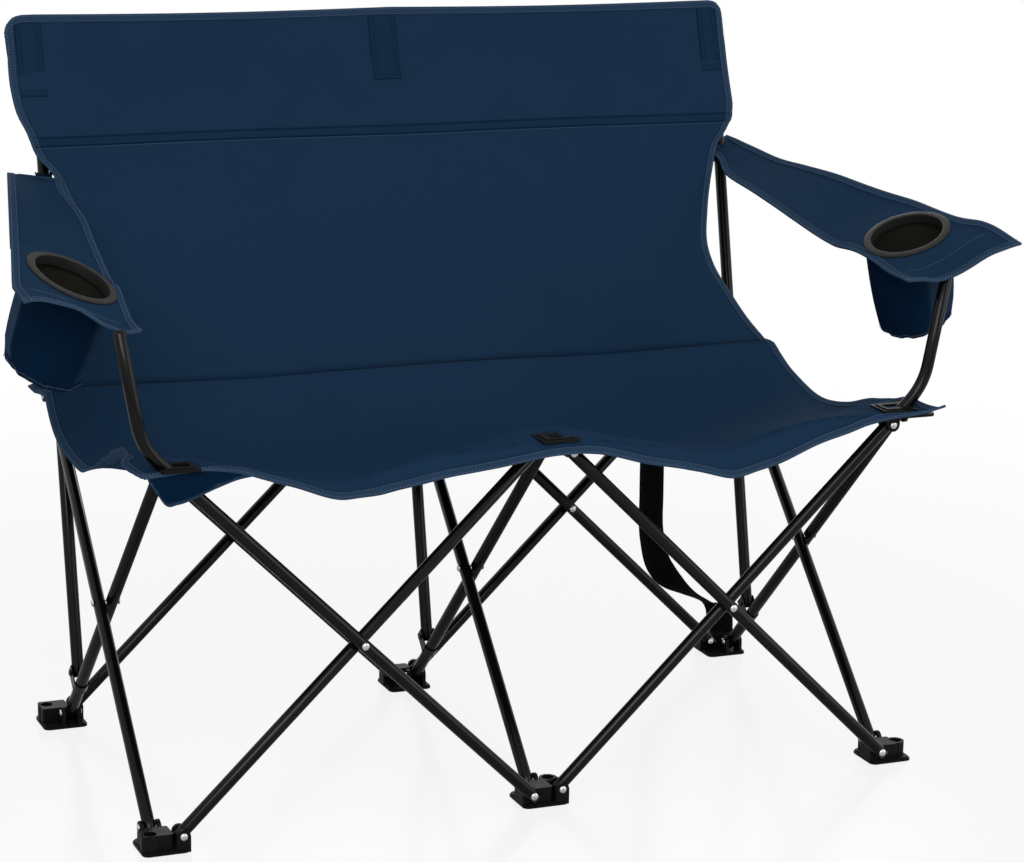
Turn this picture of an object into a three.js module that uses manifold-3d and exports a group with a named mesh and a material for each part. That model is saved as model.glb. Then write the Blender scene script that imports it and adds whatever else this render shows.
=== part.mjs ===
// Folding camping loveseat: two seats side by side on a tube frame that folds both ways.
// Millimetres, +Z up, +X to the right of someone who looks at the front, the front faces -Y.
import * as THREE from 'three'
import { mergeVertices } from 'three/addons/utils/BufferGeometryUtils.js'
import Module from 'manifold-3d'

const wasm = await Module()
wasm.setup()

// Frame: six corners in two rows, each with a foot on the ground and a hub at the seat.
const baySpacing = 500
const frameDepth = 500
const pivotInset = 22
const footPivotHeight = 20
const hubPivotHeight = 464

// Tubes and how they lie beside each other
const tubeDiameter = 16
const tubeWall = 1.2
const tubeSides = 8
const layerGap = 1
const tubeEndMargin = 8
const frontRisingInset = 12
const rearFallingInset = 8

// Armrest tubes: the outer front tubes run on past their hubs and bend upright.
const armStraightRun = 40
const armBendRadius = 88
const armUprightAngle = THREE.MathUtils.degToRad(79.5)
const armTubeTopHeight = 655
const armBendSteps = 6

// Back posts, each on a strap clip partway up a rear leg
const clipDistanceUpLeg = 82
const clipStandoff = 19
const postTopHeight = 936
const postTopBehindRearRow = 117.5
const postEndMargin = 6
const clipWall = 1.6
const clipWidth = 16
const clipPlay = 0.4
const clipEarMargin = 8

// Rivets
const rivetRadius = 3
const rivetHeadRadius = 5
const rivetHeadTopRadius = 3.2
const rivetHeadHeight = 2.2
const rivetSides = 6
const rivetHolePlay = 0.6
const seatedGap = 0.3
const rivetRoom = 3.2

// Foot and hub mouldings
const cheekWall = 4.5
const cheekHalfWidth = 9
const cheekPlay = 0.5
const plateEdgeStep = 2
const footPlateThickness = 5
const footFlangeThickness = 3
const hubPlateThickness = 3.5
const hubPlateToPivot = 12
const plateCornerRadius = 8
const blockCornerRadius = 3
const blockAbovePivot = 4
const ringOuterRadius = 12
const ringInnerRadius = 8.5
const ringHeight = 23
const footRingInset = 17
const cornerPlateReach = 29
const frontPlateReach = 27
const rearPlateReach = 28
const cutOverrun = 2
const passagePlay = 0.8
const passageReach = 38
const guideDrift = 8.5
const guidePlay = 0.7
const guideWall = 4.4
const guideHang = 6.5

// Corner plates that clamp the seat cloth on the front hubs
const clampBaseThickness = 3
const clampStepThickness = 1.5
const clampStepInset = 5
const clampBossRadius = 9
const clampBossHeight = 3
const clampHoleRadius = 3.5
const clampDepth = 44
const centreClampWidth = 50
const cornerClampInnerReach = 40
const cornerClampOuterReach = 8

// Cloth
const clothThickness = 2.4
const panelGap = 0.8
const seatSideOverhang = 20
const seatFrontBeyondCorner = 56
const seatTipBeyondHem = 28
const seatTipLift = 10
const seatHemDrawIn = 44
const seatRearEdgeInset = 4
const hubLineSag = 55
const baySag = 64
const hubFlatHalfWidth = 34
const creaseHeight = 491
const creaseAheadOfRearRow = 102
const creaseLift = 1.6
const backTopHeight = 941
const backSideOverhang = 21
const backTopToPost = 11
const pocketLength = 92
const pocketHalfWidth = 14
const pocketWall = 2.4
const pocketPlay = 0.6

// Armrests
const armRearHeight = 742
const armFrontBelowTubeTop = 9
const leftArmSwing = 14
const leftArmSpread = 30
const armRearInnerInset = 24
const armRearOuterReach = 34
const armRearInnerBehindPost = 11
const armRearOuterBehindPost = 27
const armElbowInset = 1
const armElbowAheadOfPost = 29
const armFrontInnerReach = 1
const armFrontInnerAhead = 12
const armFrontOuterReach = 147
const armFrontOuterAhead = 38
const armFrontHemAhead = 42
const armRearRise = 12
const armFrontRise = 48
const cupCentreReach = 59
const cupBehindFrontRow = 106
const cupRingOuterRadius = 57
const cupRingInnerRadius = 46.5
const cupRingThickness = 3
const cupSkirtDepth = 12
const cupSkirtWall = 1.8
const pouchTopRadius = 58
const pouchBottomRadius = 44
const pouchDepth = 124
const pouchSides = 16
const cupSides = 20

// Carry strap, sewn behind the top of the back and looped to the rear right foot
const strapWidth = 38
const strapThickness = 2
const strapTopInset = 16

// From the frame's centre to the middle of the whole chair, which is where the part's origin lies
const originShiftY = 23

// Corners that lie this close to a flat face or a straight edge are left out of it.
const facetTolerance = 0.01

// Shares along the depth of the seat, from its front hem to its rear edge, and the sag there
const seatDepthShares = [0, 0.01, 0.05, 0.16, 0.22, 0.3, 0.42, 0.55,
  0.64, 0.71, 0.76, 0.79, 0.822, 0.885, 0.945, 1]
const hubLineSagShares = [0.11, 0, 0, 0, 0.26, 0.58, 0.86, 0.97, 0.86, 0.64, 0.38, 0.13, -0.14, -0.08, 0, 0]
const baySagShares = [1, 0.92, 0.62, 0.74, 0.82, 0.91, 1, 1.02, 0.92, 0.7, 0.44, 0.2, 0.01, 0.05, 0.12, 0.17]
// Places across one half of a bay, from the edge of the hub's flat to the middle of the bay
const bayColumnShares = [0, 0.236, 0.491, 0.769, 1]
// The back from the crease to the top: height, distance towards the post line, and half width
const backHeightShares = [0, 0.05, 0.14, 0.21, 0.27, 0.37, 0.5, 0.58, 0.605, 0.64, 0.68, 0.79, 0.9, 1]
const backForwardShares = [1, 0.93, 0.79, 0.68, 0.58, 0.44, 0.27, 0.2, 0.18, 0.15, 0.11, 0.03, 0, 0]
const backWidthShares = [0.972, 0.935, 0.89, 0.862, 0.854, 0.874, 0.915,
  0.945, 0.965, 0.985, 1, 1, 0.998, 0.99]
const hemRoundness = 1.4
const backColumns = 12
const headSeamShare = 0.68
const strapTopShare = 0.808

// Derived sizes
const tubeRadius = tubeDiameter / 2
const layerPitch = tubeDiameter + layerGap
const frontRow = -frameDepth / 2
const rearRow = frameDepth / 2
const rowOf = { front: frontRow, rear: rearRow }
const columnOf = { left: -baySpacing, centre: 0, right: baySpacing }
const sideOffset = layerPitch / 2
const layerOf = {
  frontRising: frontRow - frontRisingInset,
  frontFalling: frontRow - frontRisingInset - layerPitch,
  rearFalling: rearRow - rearFallingInset,
  rearRising: rearRow - rearFallingInset + layerPitch
}
const seatHalfWidth = baySpacing + seatSideOverhang
const backHalfWidth = baySpacing + backSideOverhang
const hubTopHeight = hubPivotHeight + hubPlateToPivot + hubPlateThickness
const seatLevel = hubTopHeight + seatedGap + clothThickness / 2
const clampBaseHeight = seatLevel + clothThickness / 2 + seatedGap
const xAxis = new THREE.Vector3(1, 0, 0)
const yAxis = new THREE.Vector3(0, 1, 0)
const zAxis = new THREE.Vector3(0, 0, 1)

const blackPaint = new THREE.MeshStandardMaterial({ color: 0x101012, roughness: 0.28, metalness: 0.6 })
const blackPlastic = new THREE.MeshStandardMaterial({ color: 0x161616, roughness: 0.55, metalness: 0 })
const steel = new THREE.MeshStandardMaterial({ color: 0xb9bcc0, roughness: 0.3, metalness: 1 })
const navyCloth = new THREE.MeshStandardMaterial({ color: 0x16304f, roughness: 0.9, metalness: 0 })
const blackWebbing = new THREE.MeshStandardMaterial({ color: 0x141414, roughness: 0.95, metalness: 0 })

const chair = new THREE.Group()
chair.position.y = -originShiftY

// Solids and how they are joined and cut

function solid(geometry) {
  const bare = geometry.clone()
  bare.deleteAttribute('normal')
  bare.deleteAttribute('uv')
  const merged = mergeVertices(bare)
  const mesh = new wasm.Mesh({
    numProp: 3,
    vertProperties: new Float32Array(merged.attributes.position.array),
    triVerts: new Uint32Array(merged.index.array)
  })
  return new wasm.Manifold(mesh)
}

function geometryOf(body) {
  const mesh = body.simplify(facetTolerance).getMesh()
  const geometry = new THREE.BufferGeometry()
  geometry.setAttribute('position', new THREE.BufferAttribute(new Float32Array(mesh.vertProperties), 3))
  geometry.setIndex(new THREE.BufferAttribute(new Uint32Array(mesh.triVerts), 1))
  geometry.computeVertexNormals()
  return geometry
}

function addPiece(name, geometry, material, frame) {
  const piece = new THREE.Mesh(geometry, material)
  piece.name = name
  if (frame) {
    piece.position.copy(frame.origin)
    piece.quaternion.copy(frame.turn)
  }
  chair.add(piece)
}

// A turn that lays local Z on one direction and local X on another at right angles to it
function turnTo(along, across) {
  const side = new THREE.Vector3().crossVectors(along, across)
  return new THREE.Quaternion().setFromRotationMatrix(new THREE.Matrix4().makeBasis(across, side, along))
}

function circlePoints(radius, sides) {
  const step = 2 * Math.PI / sides
  return Array.from({ length: sides }, (_, i) =>
    new THREE.Vector2(radius * Math.cos(i * step), radius * Math.sin(i * step)))
}

// A path whose sections stand exactly on its stations
class StationPath extends THREE.Curve {
  constructor(stations) {
    super()
    this.stations = stations
  }

  getPoint(t, target = new THREE.Vector3()) {
    const spans = this.stations.length - 1
    const span = Math.min(Math.floor(t * spans), spans - 1)
    return target.lerpVectors(this.stations[span], this.stations[span + 1], t * spans - span)
  }

  getUtoTmapping(u) {
    return u
  }
}

function tube(stations) {
  const section = new THREE.Shape(circlePoints(tubeRadius, tubeSides))
  section.holes.push(new THREE.Path(circlePoints(tubeRadius - tubeWall, tubeSides)))
  return new THREE.ExtrudeGeometry(section, {
    steps: stations.length - 1,
    extrudePath: new StationPath(stations)
  })
}

// A round bar between two values along an axis, for holes
function roundCut(radius, sides, from, to, axis, at) {
  const cut = new THREE.CylinderGeometry(radius, radius, to - from, sides)
  cut.translate(0, (from + to) / 2, 0)
  cut.applyQuaternion(new THREE.Quaternion().setFromUnitVectors(yAxis, axis))
  cut.translate(at.x, at.y, at.z)
  return solid(cut)
}

function roundedOutline(x0, x1, y0, y1, radius) {
  const outline = new THREE.Shape()
  outline.moveTo(x0 + radius, y0)
  outline.lineTo(x1 - radius, y0)
  outline.absarc(x1 - radius, y0 + radius, radius, -Math.PI / 2, 0)
  outline.lineTo(x1, y1 - radius)
  outline.absarc(x1 - radius, y1 - radius, radius, 0, Math.PI / 2)
  outline.lineTo(x0 + radius, y1)
  outline.absarc(x0 + radius, y1 - radius, radius, Math.PI / 2, Math.PI)
  outline.lineTo(x0, y0 + radius)
  outline.absarc(x0 + radius, y0 + radius, radius, Math.PI, 1.5 * Math.PI)
  return outline
}

function roundedPlate(x0, x1, y0, y1, radius, from, to, cornerSteps = 2) {
  const plate = new THREE.ExtrudeGeometry(roundedOutline(x0, x1, y0, y1, radius), {
    depth: to - from,
    bevelEnabled: false,
    curveSegments: cornerSteps
  })
  plate.translate(0, 0, from)
  return solid(plate)
}

// Rivets: a shank between two domed heads, seated on what it clamps

function rivet(from, to) {
  const low = from - seatedGap
  const high = to + seatedGap
  const profile = [
    new THREE.Vector2(0, low - rivetHeadHeight),
    new THREE.Vector2(rivetHeadTopRadius, low - rivetHeadHeight),
    new THREE.Vector2(rivetHeadRadius, low),
    new THREE.Vector2(rivetRadius, low),
    new THREE.Vector2(rivetRadius, high),
    new THREE.Vector2(rivetHeadRadius, high),
    new THREE.Vector2(rivetHeadTopRadius, high + rivetHeadHeight),
    new THREE.Vector2(0, high + rivetHeadHeight)
  ]
  const geometry = new THREE.LatheGeometry(profile, rivetSides)
  geometry.applyQuaternion(new THREE.Quaternion().setFromUnitVectors(yAxis, xAxis))
  return geometry
}

// Frame bars. Local Z runs from the foot pivot to the hub pivot and local X along the rivets.

function barFrame(from, to, rivetAxis) {
  const along = new THREE.Vector3().subVectors(to, from).normalize()
  return { origin: from, turn: turnTo(along, rivetAxis), length: from.distanceTo(to), along }
}

// The run of an armrest tube past its hub, in the frame of the bar
function armStations(frame, topHeight) {
  const across = new THREE.Vector3(0, 1, 0).applyQuaternion(frame.turn)
  const side = Math.sign(across.z)
  const startAngle = Math.asin(frame.along.z)
  const turnAngle = armUprightAngle - startAngle
  const bendStart = frame.length + armStraightRun
  const stations = []
  for (let i = 0; i <= armBendSteps; i++) {
    const angle = turnAngle * i / armBendSteps
    stations.push(new THREE.Vector3(
      0,
      side * armBendRadius * (1 - Math.cos(angle)),
      bendStart + armBendRadius * Math.sin(angle)
    ))
  }
  const bendTop = stations[armBendSteps].clone().applyQuaternion(frame.turn).add(frame.origin)
  const upright = (topHeight - bendTop.z) / Math.sin(armUprightAngle)
  stations.push(new THREE.Vector3(
    0,
    stations[armBendSteps].y + side * upright * Math.sin(turnAngle),
    stations[armBendSteps].z + upright * Math.cos(turnAngle)
  ))
  return stations
}

const singleGrip = [-tubeRadius, tubeRadius + cheekPlay + cheekWall]
const forkGrip = [-tubeRadius - cheekPlay - cheekWall, tubeRadius + cheekPlay + cheekWall]
const crossGrip = [-tubeRadius, layerPitch + tubeRadius]

// The rivets at both ends are part of the bar; the one where two bars cross is a piece of its own.
function addBar(name, from, to, rivetAxis, grip, armTopHeight) {
  const frame = barFrame(from, to, rivetAxis)
  const start = new THREE.Vector3(0, 0, -tubeEndMargin)
  const end = armTopHeight
    ? armStations(frame, armTopHeight)
    : [new THREE.Vector3(0, 0, frame.length + tubeEndMargin)]
  let body = solid(tube([start, ...end]))
  const reach = tubeRadius + cutOverrun
  body = body.subtract(roundCut(rivetRadius + rivetHolePlay, rivetSides, -reach, reach, xAxis,
    new THREE.Vector3(0, 0, frame.length / 2)))
  for (const z of [0, frame.length]) {
    body = body.add(solid(rivet(...grip).translate(0, 0, z)))
  }
  addPiece(name, geometryOf(body), blackPaint, frame)
}

function addCrossRivet(name, from, to, rivetAxis) {
  const frame = barFrame(from, to, rivetAxis)
  addPiece(name, rivet(...crossGrip).translate(0, 0, frame.length / 2), steel, frame)
}

function pivot(column, inset, layer, height) {
  return new THREE.Vector3(columnOf[column] + inset, layer, height)
}

// A falling bar runs from the upper left to the lower right, seen from the front.
function addFallingBar(name, left, right, layer, grip, armTopHeight) {
  const foot = pivot(right, -pivotInset, layer, footPivotHeight)
  const hub = pivot(left, pivotInset, layer, hubPivotHeight)
  addBar(name, foot, hub, yAxis, grip, armTopHeight)
  const place = name.split('_').slice(0, 2).join('_')
  addCrossRivet(`${place}_cross_rivet`, foot, hub, yAxis)
}

function addRisingBar(name, left, right, layer, armTopHeight) {
  addBar(name, pivot(left, pivotInset, layer, footPivotHeight),
    pivot(right, -pivotInset, layer, hubPivotHeight), yAxis, forkGrip, armTopHeight)
}

addFallingBar('front_left_arm_tube', 'left', 'centre', layerOf.frontFalling, singleGrip, armTubeTopHeight)
addRisingBar('front_left_cross_tube', 'left', 'centre', layerOf.frontRising)
addFallingBar('front_right_cross_tube', 'centre', 'right', layerOf.frontFalling, singleGrip)
addRisingBar('front_right_arm_tube', 'centre', 'right', layerOf.frontRising, armTubeTopHeight)
addFallingBar('rear_left_falling_tube', 'left', 'centre', layerOf.rearFalling, singleGrip)
addRisingBar('rear_left_rising_tube', 'left', 'centre', layerOf.rearRising)
addFallingBar('rear_right_falling_tube', 'centre', 'right', layerOf.rearFalling, singleGrip)
addRisingBar('rear_right_rising_tube', 'centre', 'right', layerOf.rearRising)

// Side legs, back posts and their clips, alike in all three columns

const frontPivotY = frontRow + pivotInset
const rearPivotY = rearRow - pivotInset
for (const [column, x] of Object.entries(columnOf)) {
  const rearFoot = new THREE.Vector3(x + sideOffset, rearPivotY, footPivotHeight)
  const frontHub = new THREE.Vector3(x + sideOffset, frontPivotY, hubPivotHeight)
  const frontFoot = new THREE.Vector3(x - sideOffset, frontPivotY, footPivotHeight)
  const rearHub = new THREE.Vector3(x - sideOffset, rearPivotY, hubPivotHeight)
  addBar(`${column}_front_leg`, frontFoot, rearHub, xAxis, forkGrip)
  addCrossRivet(`${column}_legs_cross_rivet`, frontFoot, rearHub, xAxis)
  addBar(`${column}_rear_leg`, rearFoot, frontHub, xAxis, forkGrip)
  addBackPost(column, barFrame(rearFoot, frontHub, xAxis))
}

function addBackPost(column, leg) {
  const away = new THREE.Vector3().crossVectors(leg.along, xAxis)
  const foot = leg.origin.clone()
    .addScaledVector(leg.along, clipDistanceUpLeg)
    .addScaledVector(away, clipStandoff)
  const top = new THREE.Vector3(foot.x, rearRow + postTopBehindRearRow, postTopHeight)
  const along = new THREE.Vector3().subVectors(top, foot).normalize()
  const frame = { origin: foot, turn: turnTo(along, xAxis) }
  const stations = [new THREE.Vector3(0, 0, -postEndMargin), new THREE.Vector3(0, 0, foot.distanceTo(top))]
  const reach = tubeRadius + cutOverrun
  const hole = roundCut(rivetRadius + rivetHolePlay, rivetSides, -reach, reach, xAxis, new THREE.Vector3())
  addPiece(`${column}_back_post`, geometryOf(solid(tube(stations)).subtract(hole)), blackPaint, frame)
  addClip(column, leg)
}

// The clip hugs the under side of the leg, and its two ears reach up past the post.
// The rivet that the post turns on is part of the clip.
function addClip(column, leg) {
  const inner = tubeRadius + clipPlay
  const outer = inner + clipWall
  const earEnd = clipStandoff + clipEarMargin
  const outline = new THREE.Shape()
  outline.moveTo(outer, earEnd)
  outline.lineTo(inner, earEnd)
  outline.lineTo(inner, 0)
  outline.absarc(0, 0, inner, 0, -Math.PI, true)
  outline.lineTo(-inner, earEnd)
  outline.lineTo(-outer, earEnd)
  outline.lineTo(-outer, 0)
  outline.absarc(0, 0, outer, Math.PI, 2 * Math.PI)
  outline.closePath()
  const strap = new THREE.ExtrudeGeometry(outline, {
    depth: clipWidth,
    bevelEnabled: false,
    curveSegments: 6
  })
  strap.translate(0, 0, clipDistanceUpLeg - clipWidth / 2)
  const pin = rivet(-outer, outer).translate(0, clipStandoff, clipDistanceUpLeg)
  addPiece(`${column}_post_clip`, geometryOf(solid(strap).add(solid(pin))), blackPaint, leg)
}

// Foot and hub mouldings. Local Z runs from the outer face of the plate towards the pivots.
// Each seat holds one bar between cheeks: a fork has two, an outer bar has one.

function cheek(seat, side, pivotDepth) {
  const outline = new THREE.Shape()
  outline.moveTo(-cheekHalfWidth, 0)
  outline.lineTo(cheekHalfWidth, 0)
  outline.lineTo(cheekHalfWidth, pivotDepth)
  outline.absarc(0, pivotDepth, cheekHalfWidth, 0, Math.PI)
  outline.closePath()
  const slab = new THREE.ExtrudeGeometry(outline, { depth: cheekWall, bevelEnabled: false, curveSegments: 4 })
  slab.translate(0, 0, -cheekWall / 2)
  const upright = seat.axis === xAxis
    ? new THREE.Matrix4().makeBasis(yAxis, zAxis, xAxis)
    : new THREE.Matrix4().makeBasis(xAxis, zAxis, yAxis.clone().negate())
  slab.applyMatrix4(upright)
  const offset = side * (tubeRadius + cheekPlay + cheekWall / 2)
  slab.translate(seat.x + offset * seat.axis.x, seat.y + offset * seat.axis.y, 0)
  return solid(slab)
}

function moulding({ plate, flange, thickness, pivotDepth, seats, blocks, ring }) {
  const [x0, x1, y0, y1] = plate
  const step = flange < thickness ? plateEdgeStep : 0
  let body = roundedPlate(x0, x1, y0, y1, plateCornerRadius, 0, flange)
  if (step > 0) {
    body = body.add(roundedPlate(x0 + step, x1 - step, y0 + step, y1 - step,
      plateCornerRadius - step, 0, thickness))
  }
  for (const [bx0, bx1, by0, by1, height] of blocks) {
    body = body.add(roundedPlate(bx0, bx1, by0, by1, blockCornerRadius, 0, height, 1))
  }
  for (const seat of seats) {
    for (const side of seat.sides) {
      body = body.add(cheek(seat, side, pivotDepth))
    }
  }
  if (ring) {
    const at = new THREE.Vector3(ring[0], ring[1], 0)
    body = body.add(roundCut(ringOuterRadius, 10, 0, ringHeight, zAxis, at))
    body = body.subtract(roundCut(ringInnerRadius, 10, thickness, ringHeight + cutOverrun, zAxis, at))
  }
  const outerFace = tubeRadius + cheekPlay + cheekWall
  for (const seat of seats) {
    const at = new THREE.Vector3(seat.x, seat.y, pivotDepth)
    const holeRadius = rivetRadius + rivetHolePlay
    for (const side of seat.sides) {
      const end = side * (outerFace + rivetRoom)
      const [from, to] = [Math.min(0, end), Math.max(0, end)]
      body = body.subtract(roundCut(holeRadius, rivetSides, from, to, seat.axis, at))
      const [low, high] = [Math.min(side * outerFace, end), Math.max(side * outerFace, end)]
      body = body.subtract(roundCut(rivetHeadRadius + cheekPlay, 8, low, high, seat.axis, at))
    }
  }
  return body
}

// Bar seats, from the centre of a corner
const plateSide = pivotInset + cheekHalfWidth
const plateBack = pivotInset + cheekHalfWidth
const frontLayers = { rising: -frontRisingInset, falling: -frontRisingInset - layerPitch }
const rearLayers = { rising: layerPitch - rearFallingInset, falling: -rearFallingInset }
const blockFrontFace = frontLayers.falling + tubeRadius + cheekPlay

function seatAcross(x, y, sides) {
  return { x, y, axis: yAxis, sides }
}

function seatAlong(x, y) {
  return { x, y, axis: xAxis, sides: [-1, 1] }
}

const endReach = Math.hypot(tubeRadius, tubeEndMargin) + cheekPlay
const footBlockHeight = footPivotHeight + blockAbovePivot
const footCommon = {
  flange: footFlangeThickness,
  thickness: footPlateThickness,
  pivotDepth: footPivotHeight
}
const frontLegSeat = seatAlong(-sideOffset, pivotInset)
const rearLegSeat = seatAlong(sideOffset, -pivotInset)
const risingFrontSeat = seatAcross(pivotInset, frontLayers.rising, [-1, 1])
const fallingFrontSeat = seatAcross(-pivotInset, frontLayers.falling, [1])
const risingRearSeat = seatAcross(pivotInset, rearLayers.rising, [-1, 1])
const fallingRearSeat = seatAcross(-pivotInset, rearLayers.falling, [1])
const blockEdge = pivotInset - endReach
const rearBlockFront = -pivotInset + endReach

const feet = {
  front_left: {
    plate: [-cornerPlateReach, plateSide, -frontPlateReach, plateBack],
    seats: [risingFrontSeat, frontLegSeat],
    blocks: [[-cornerPlateReach + plateEdgeStep, blockEdge, blockFrontFace, blockEdge,
      footBlockHeight]],
    ring: [-footRingInset, frontLayers.rising + cheekPlay]
  },
  front_centre: {
    plate: [-plateSide, plateSide, -frontPlateReach, plateBack],
    seats: [fallingFrontSeat, risingFrontSeat, frontLegSeat],
    blocks: [[-plateSide, blockEdge, blockFrontFace, blockEdge, footBlockHeight]],
    ring: [footRingInset + plateEdgeStep, footRingInset]
  },
  front_right: {
    plate: [-plateSide, cornerPlateReach, -frontPlateReach, plateBack],
    seats: [fallingFrontSeat, frontLegSeat],
    blocks: [[-plateSide, blockEdge, blockFrontFace, blockEdge, footBlockHeight]],
    ring: [footRingInset - plateEdgeStep, -cheekWall]
  },
  rear_left: {
    plate: [-cornerPlateReach, plateSide, -plateBack, rearPlateReach],
    seats: [risingRearSeat, rearLegSeat],
    blocks: [[-cornerPlateReach + plateEdgeStep, blockEdge, rearBlockFront,
      pivotInset, footBlockHeight]],
    ring: [-footRingInset, cheekHalfWidth]
  },
  rear_centre: {
    plate: [-plateSide, plateSide, -plateBack, plateBack],
    seats: [fallingRearSeat, risingRearSeat, rearLegSeat],
    blocks: [[-plateSide, blockEdge, tubeRadius - rearFallingInset + cheekPlay, pivotInset,
      footBlockHeight]],
    ring: [-footRingInset, footRingInset]
  },
  rear_right: {
    plate: [-plateSide, cornerPlateReach, -plateBack, rearPlateReach],
    seats: [fallingRearSeat, rearLegSeat],
    blocks: [[-plateSide, footRingInset, tubeRadius - rearFallingInset + cheekPlay, pivotInset,
      footBlockHeight]],
    ring: [footRingInset - plateEdgeStep, cheekHalfWidth + cheekWall]
  }
}

for (const [corner, spec] of Object.entries(feet)) {
  const [row, column] = corner.split('_')
  const body = moulding({ ...footCommon, ...spec })
  addPiece(`${corner}_foot`, geometryOf(body), blackPlastic, {
    origin: new THREE.Vector3(columnOf[column], rowOf[row], 0),
    turn: new THREE.Quaternion()
  })
}

// Hubs are mouldings turned over, so their places are given as seen from below.

function seenFromBelow(seat) {
  const sides = seat.axis === yAxis ? seat.sides.map((side) => -side) : seat.sides
  return { ...seat, y: -seat.y, sides }
}

const hubPivotDepth = hubPlateThickness + hubPlateToPivot
const postLean = postTopOffset()
const hubPlateMiddle = hubTopHeight - hubPlateThickness / 2

// How far the post has leant back from its clip at the height of the hub plate
function postTopOffset() {
  const rise = hubPivotHeight - footPivotHeight
  const run = rearPivotY - frontPivotY
  const legLength = Math.hypot(rise, run)
  const clipY = rearPivotY - clipDistanceUpLeg * run / legLength + clipStandoff * rise / legLength
  const clipZ = footPivotHeight + clipDistanceUpLeg * rise / legLength + clipStandoff * run / legLength
  const slope = (rearRow + postTopBehindRearRow - clipY) / (postTopHeight - clipZ)
  return { slope, clipY, clipZ }
}

function postYAt(height) {
  return postLean.clipY + (height - postLean.clipZ) * postLean.slope
}

const guideCentre = postYAt(hubPlateMiddle) - rearRow
const guideHalfLength = guideDrift + tubeRadius + guidePlay + guideHang * postLean.slope
const guideInnerHalfWidth = tubeRadius + guidePlay
const guideOuterHalfWidth = guideInnerHalfWidth + guideWall

// The loop that the back post slides through, as a slot with hanging walls
function addPostGuide(body) {
  const rear = guideCentre + guideHalfLength
  const wallFront = pivotInset - rearFallingInset - endReach + cheekPlay
  const walls = roundedPlate(sideOffset - guideOuterHalfWidth, sideOffset + guideOuterHalfWidth,
    -rear - guideWall, -wallFront, blockCornerRadius, 0, hubPlateThickness + guideHang)
  const slot = roundedPlate(sideOffset - guideInnerHalfWidth, sideOffset + guideInnerHalfWidth,
    -rear, -(guideCentre - guideHalfLength), blockCornerRadius,
    -cutOverrun, hubPivotDepth + cheekHalfWidth + cutOverrun)
  return body.add(walls).subtract(slot)
}

// The slot that an armrest tube needs in a plate, from rest to folded
function armPassage(side, layer, from, to) {
  const nearEdge = side * (pivotInset + tubeRadius + passagePlay)
  const farEdge = side * (pivotInset - passageReach)
  return roundedPlate(Math.min(nearEdge, farEdge), Math.max(nearEdge, farEdge),
    layer - tubeRadius - passagePlay, layer + tubeRadius + passagePlay,
    blockCornerRadius, from, to)
}

const hubCommon = {
  flange: hubPlateThickness,
  thickness: hubPlateThickness,
  pivotDepth: hubPivotDepth,
  blocks: []
}
const armPlateEdge = pivotInset + tubeRadius + passagePlay + plateEdgeStep
const hubPlateFront = frontLayers.falling - tubeRadius - cheekWall
const hubPlateRear = guideCentre + guideHalfLength + guideWall
const hubs = {
  front_left: {
    plate: [-plateSide, armPlateEdge, -plateBack, -hubPlateFront],
    seats: [seatAcross(pivotInset, frontLayers.falling, [1]), seatAlong(sideOffset, pivotInset)],
    passage: [1, frontLayers.falling]
  },
  front_centre: {
    plate: [-plateSide, plateSide, -plateBack, -hubPlateFront],
    seats: [seatAcross(-pivotInset, frontLayers.rising, [-1, 1]),
      seatAcross(pivotInset, frontLayers.falling, [1]), seatAlong(sideOffset, pivotInset)]
  },
  front_right: {
    plate: [-armPlateEdge, plateSide, -plateBack, -hubPlateFront],
    seats: [seatAcross(-pivotInset, frontLayers.rising, [-1, 1]), seatAlong(sideOffset, pivotInset)],
    passage: [-1, frontLayers.rising]
  },
  rear_left: {
    plate: [-cornerPlateReach, plateSide, -hubPlateRear, plateBack],
    seats: [seatAcross(pivotInset, rearLayers.falling, [1]), seatAlong(-sideOffset, -pivotInset)],
    guide: true
  },
  rear_centre: {
    plate: [-plateSide, plateSide, -hubPlateRear, plateBack],
    seats: [seatAcross(-pivotInset, rearLayers.rising, [-1, 1]),
      seatAcross(pivotInset, rearLayers.falling, [1]), seatAlong(-sideOffset, -pivotInset)],
    guide: true
  },
  rear_right: {
    plate: [-plateSide, cornerPlateReach, -hubPlateRear, plateBack],
    seats: [seatAcross(-pivotInset, rearLayers.rising, [-1, 1]), seatAlong(-sideOffset, -pivotInset)],
    guide: true
  }
}

const turnedOver = new THREE.Quaternion().setFromAxisAngle(xAxis, Math.PI)
for (const [corner, spec] of Object.entries(hubs)) {
  const [row, column] = corner.split('_')
  let body = moulding({ ...hubCommon, ...spec, seats: spec.seats.map(seenFromBelow) })
  if (spec.guide) {
    body = addPostGuide(body)
  }
  if (spec.passage) {
    body = body.subtract(armPassage(spec.passage[0], -spec.passage[1], -cutOverrun,
      hubPlateThickness + cutOverrun))
  }
  addPiece(`${corner}_hub`, geometryOf(body), blackPlastic, {
    origin: new THREE.Vector3(columnOf[column], rowOf[row], hubTopHeight),
    turn: turnedOver
  })
}

// Clamp plates on the front hubs, in stepped squares

function clampPlate(x0, x1, y0, y1, finish) {
  const first = clampBaseThickness
  const second = first + clampStepThickness
  const inset = clampStepInset
  let body = roundedPlate(x0, x1, y0, y1, blockCornerRadius, 0, first)
  body = body.add(roundedPlate(x0 + inset, x1 - inset, y0 + inset, y1 - inset, blockCornerRadius, 0, second))
  return finish(body)
}

function addClampPlate(column, x0, x1, layer, finish) {
  const body = clampPlate(x0, x1, layer - clampDepth / 2, layer + clampDepth / 2, finish)
  addPiece(`${column}_clamp_plate`, geometryOf(body), blackPlastic, {
    origin: new THREE.Vector3(columnOf[column], frontRow, clampBaseHeight),
    turn: new THREE.Quaternion()
  })
}

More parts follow.
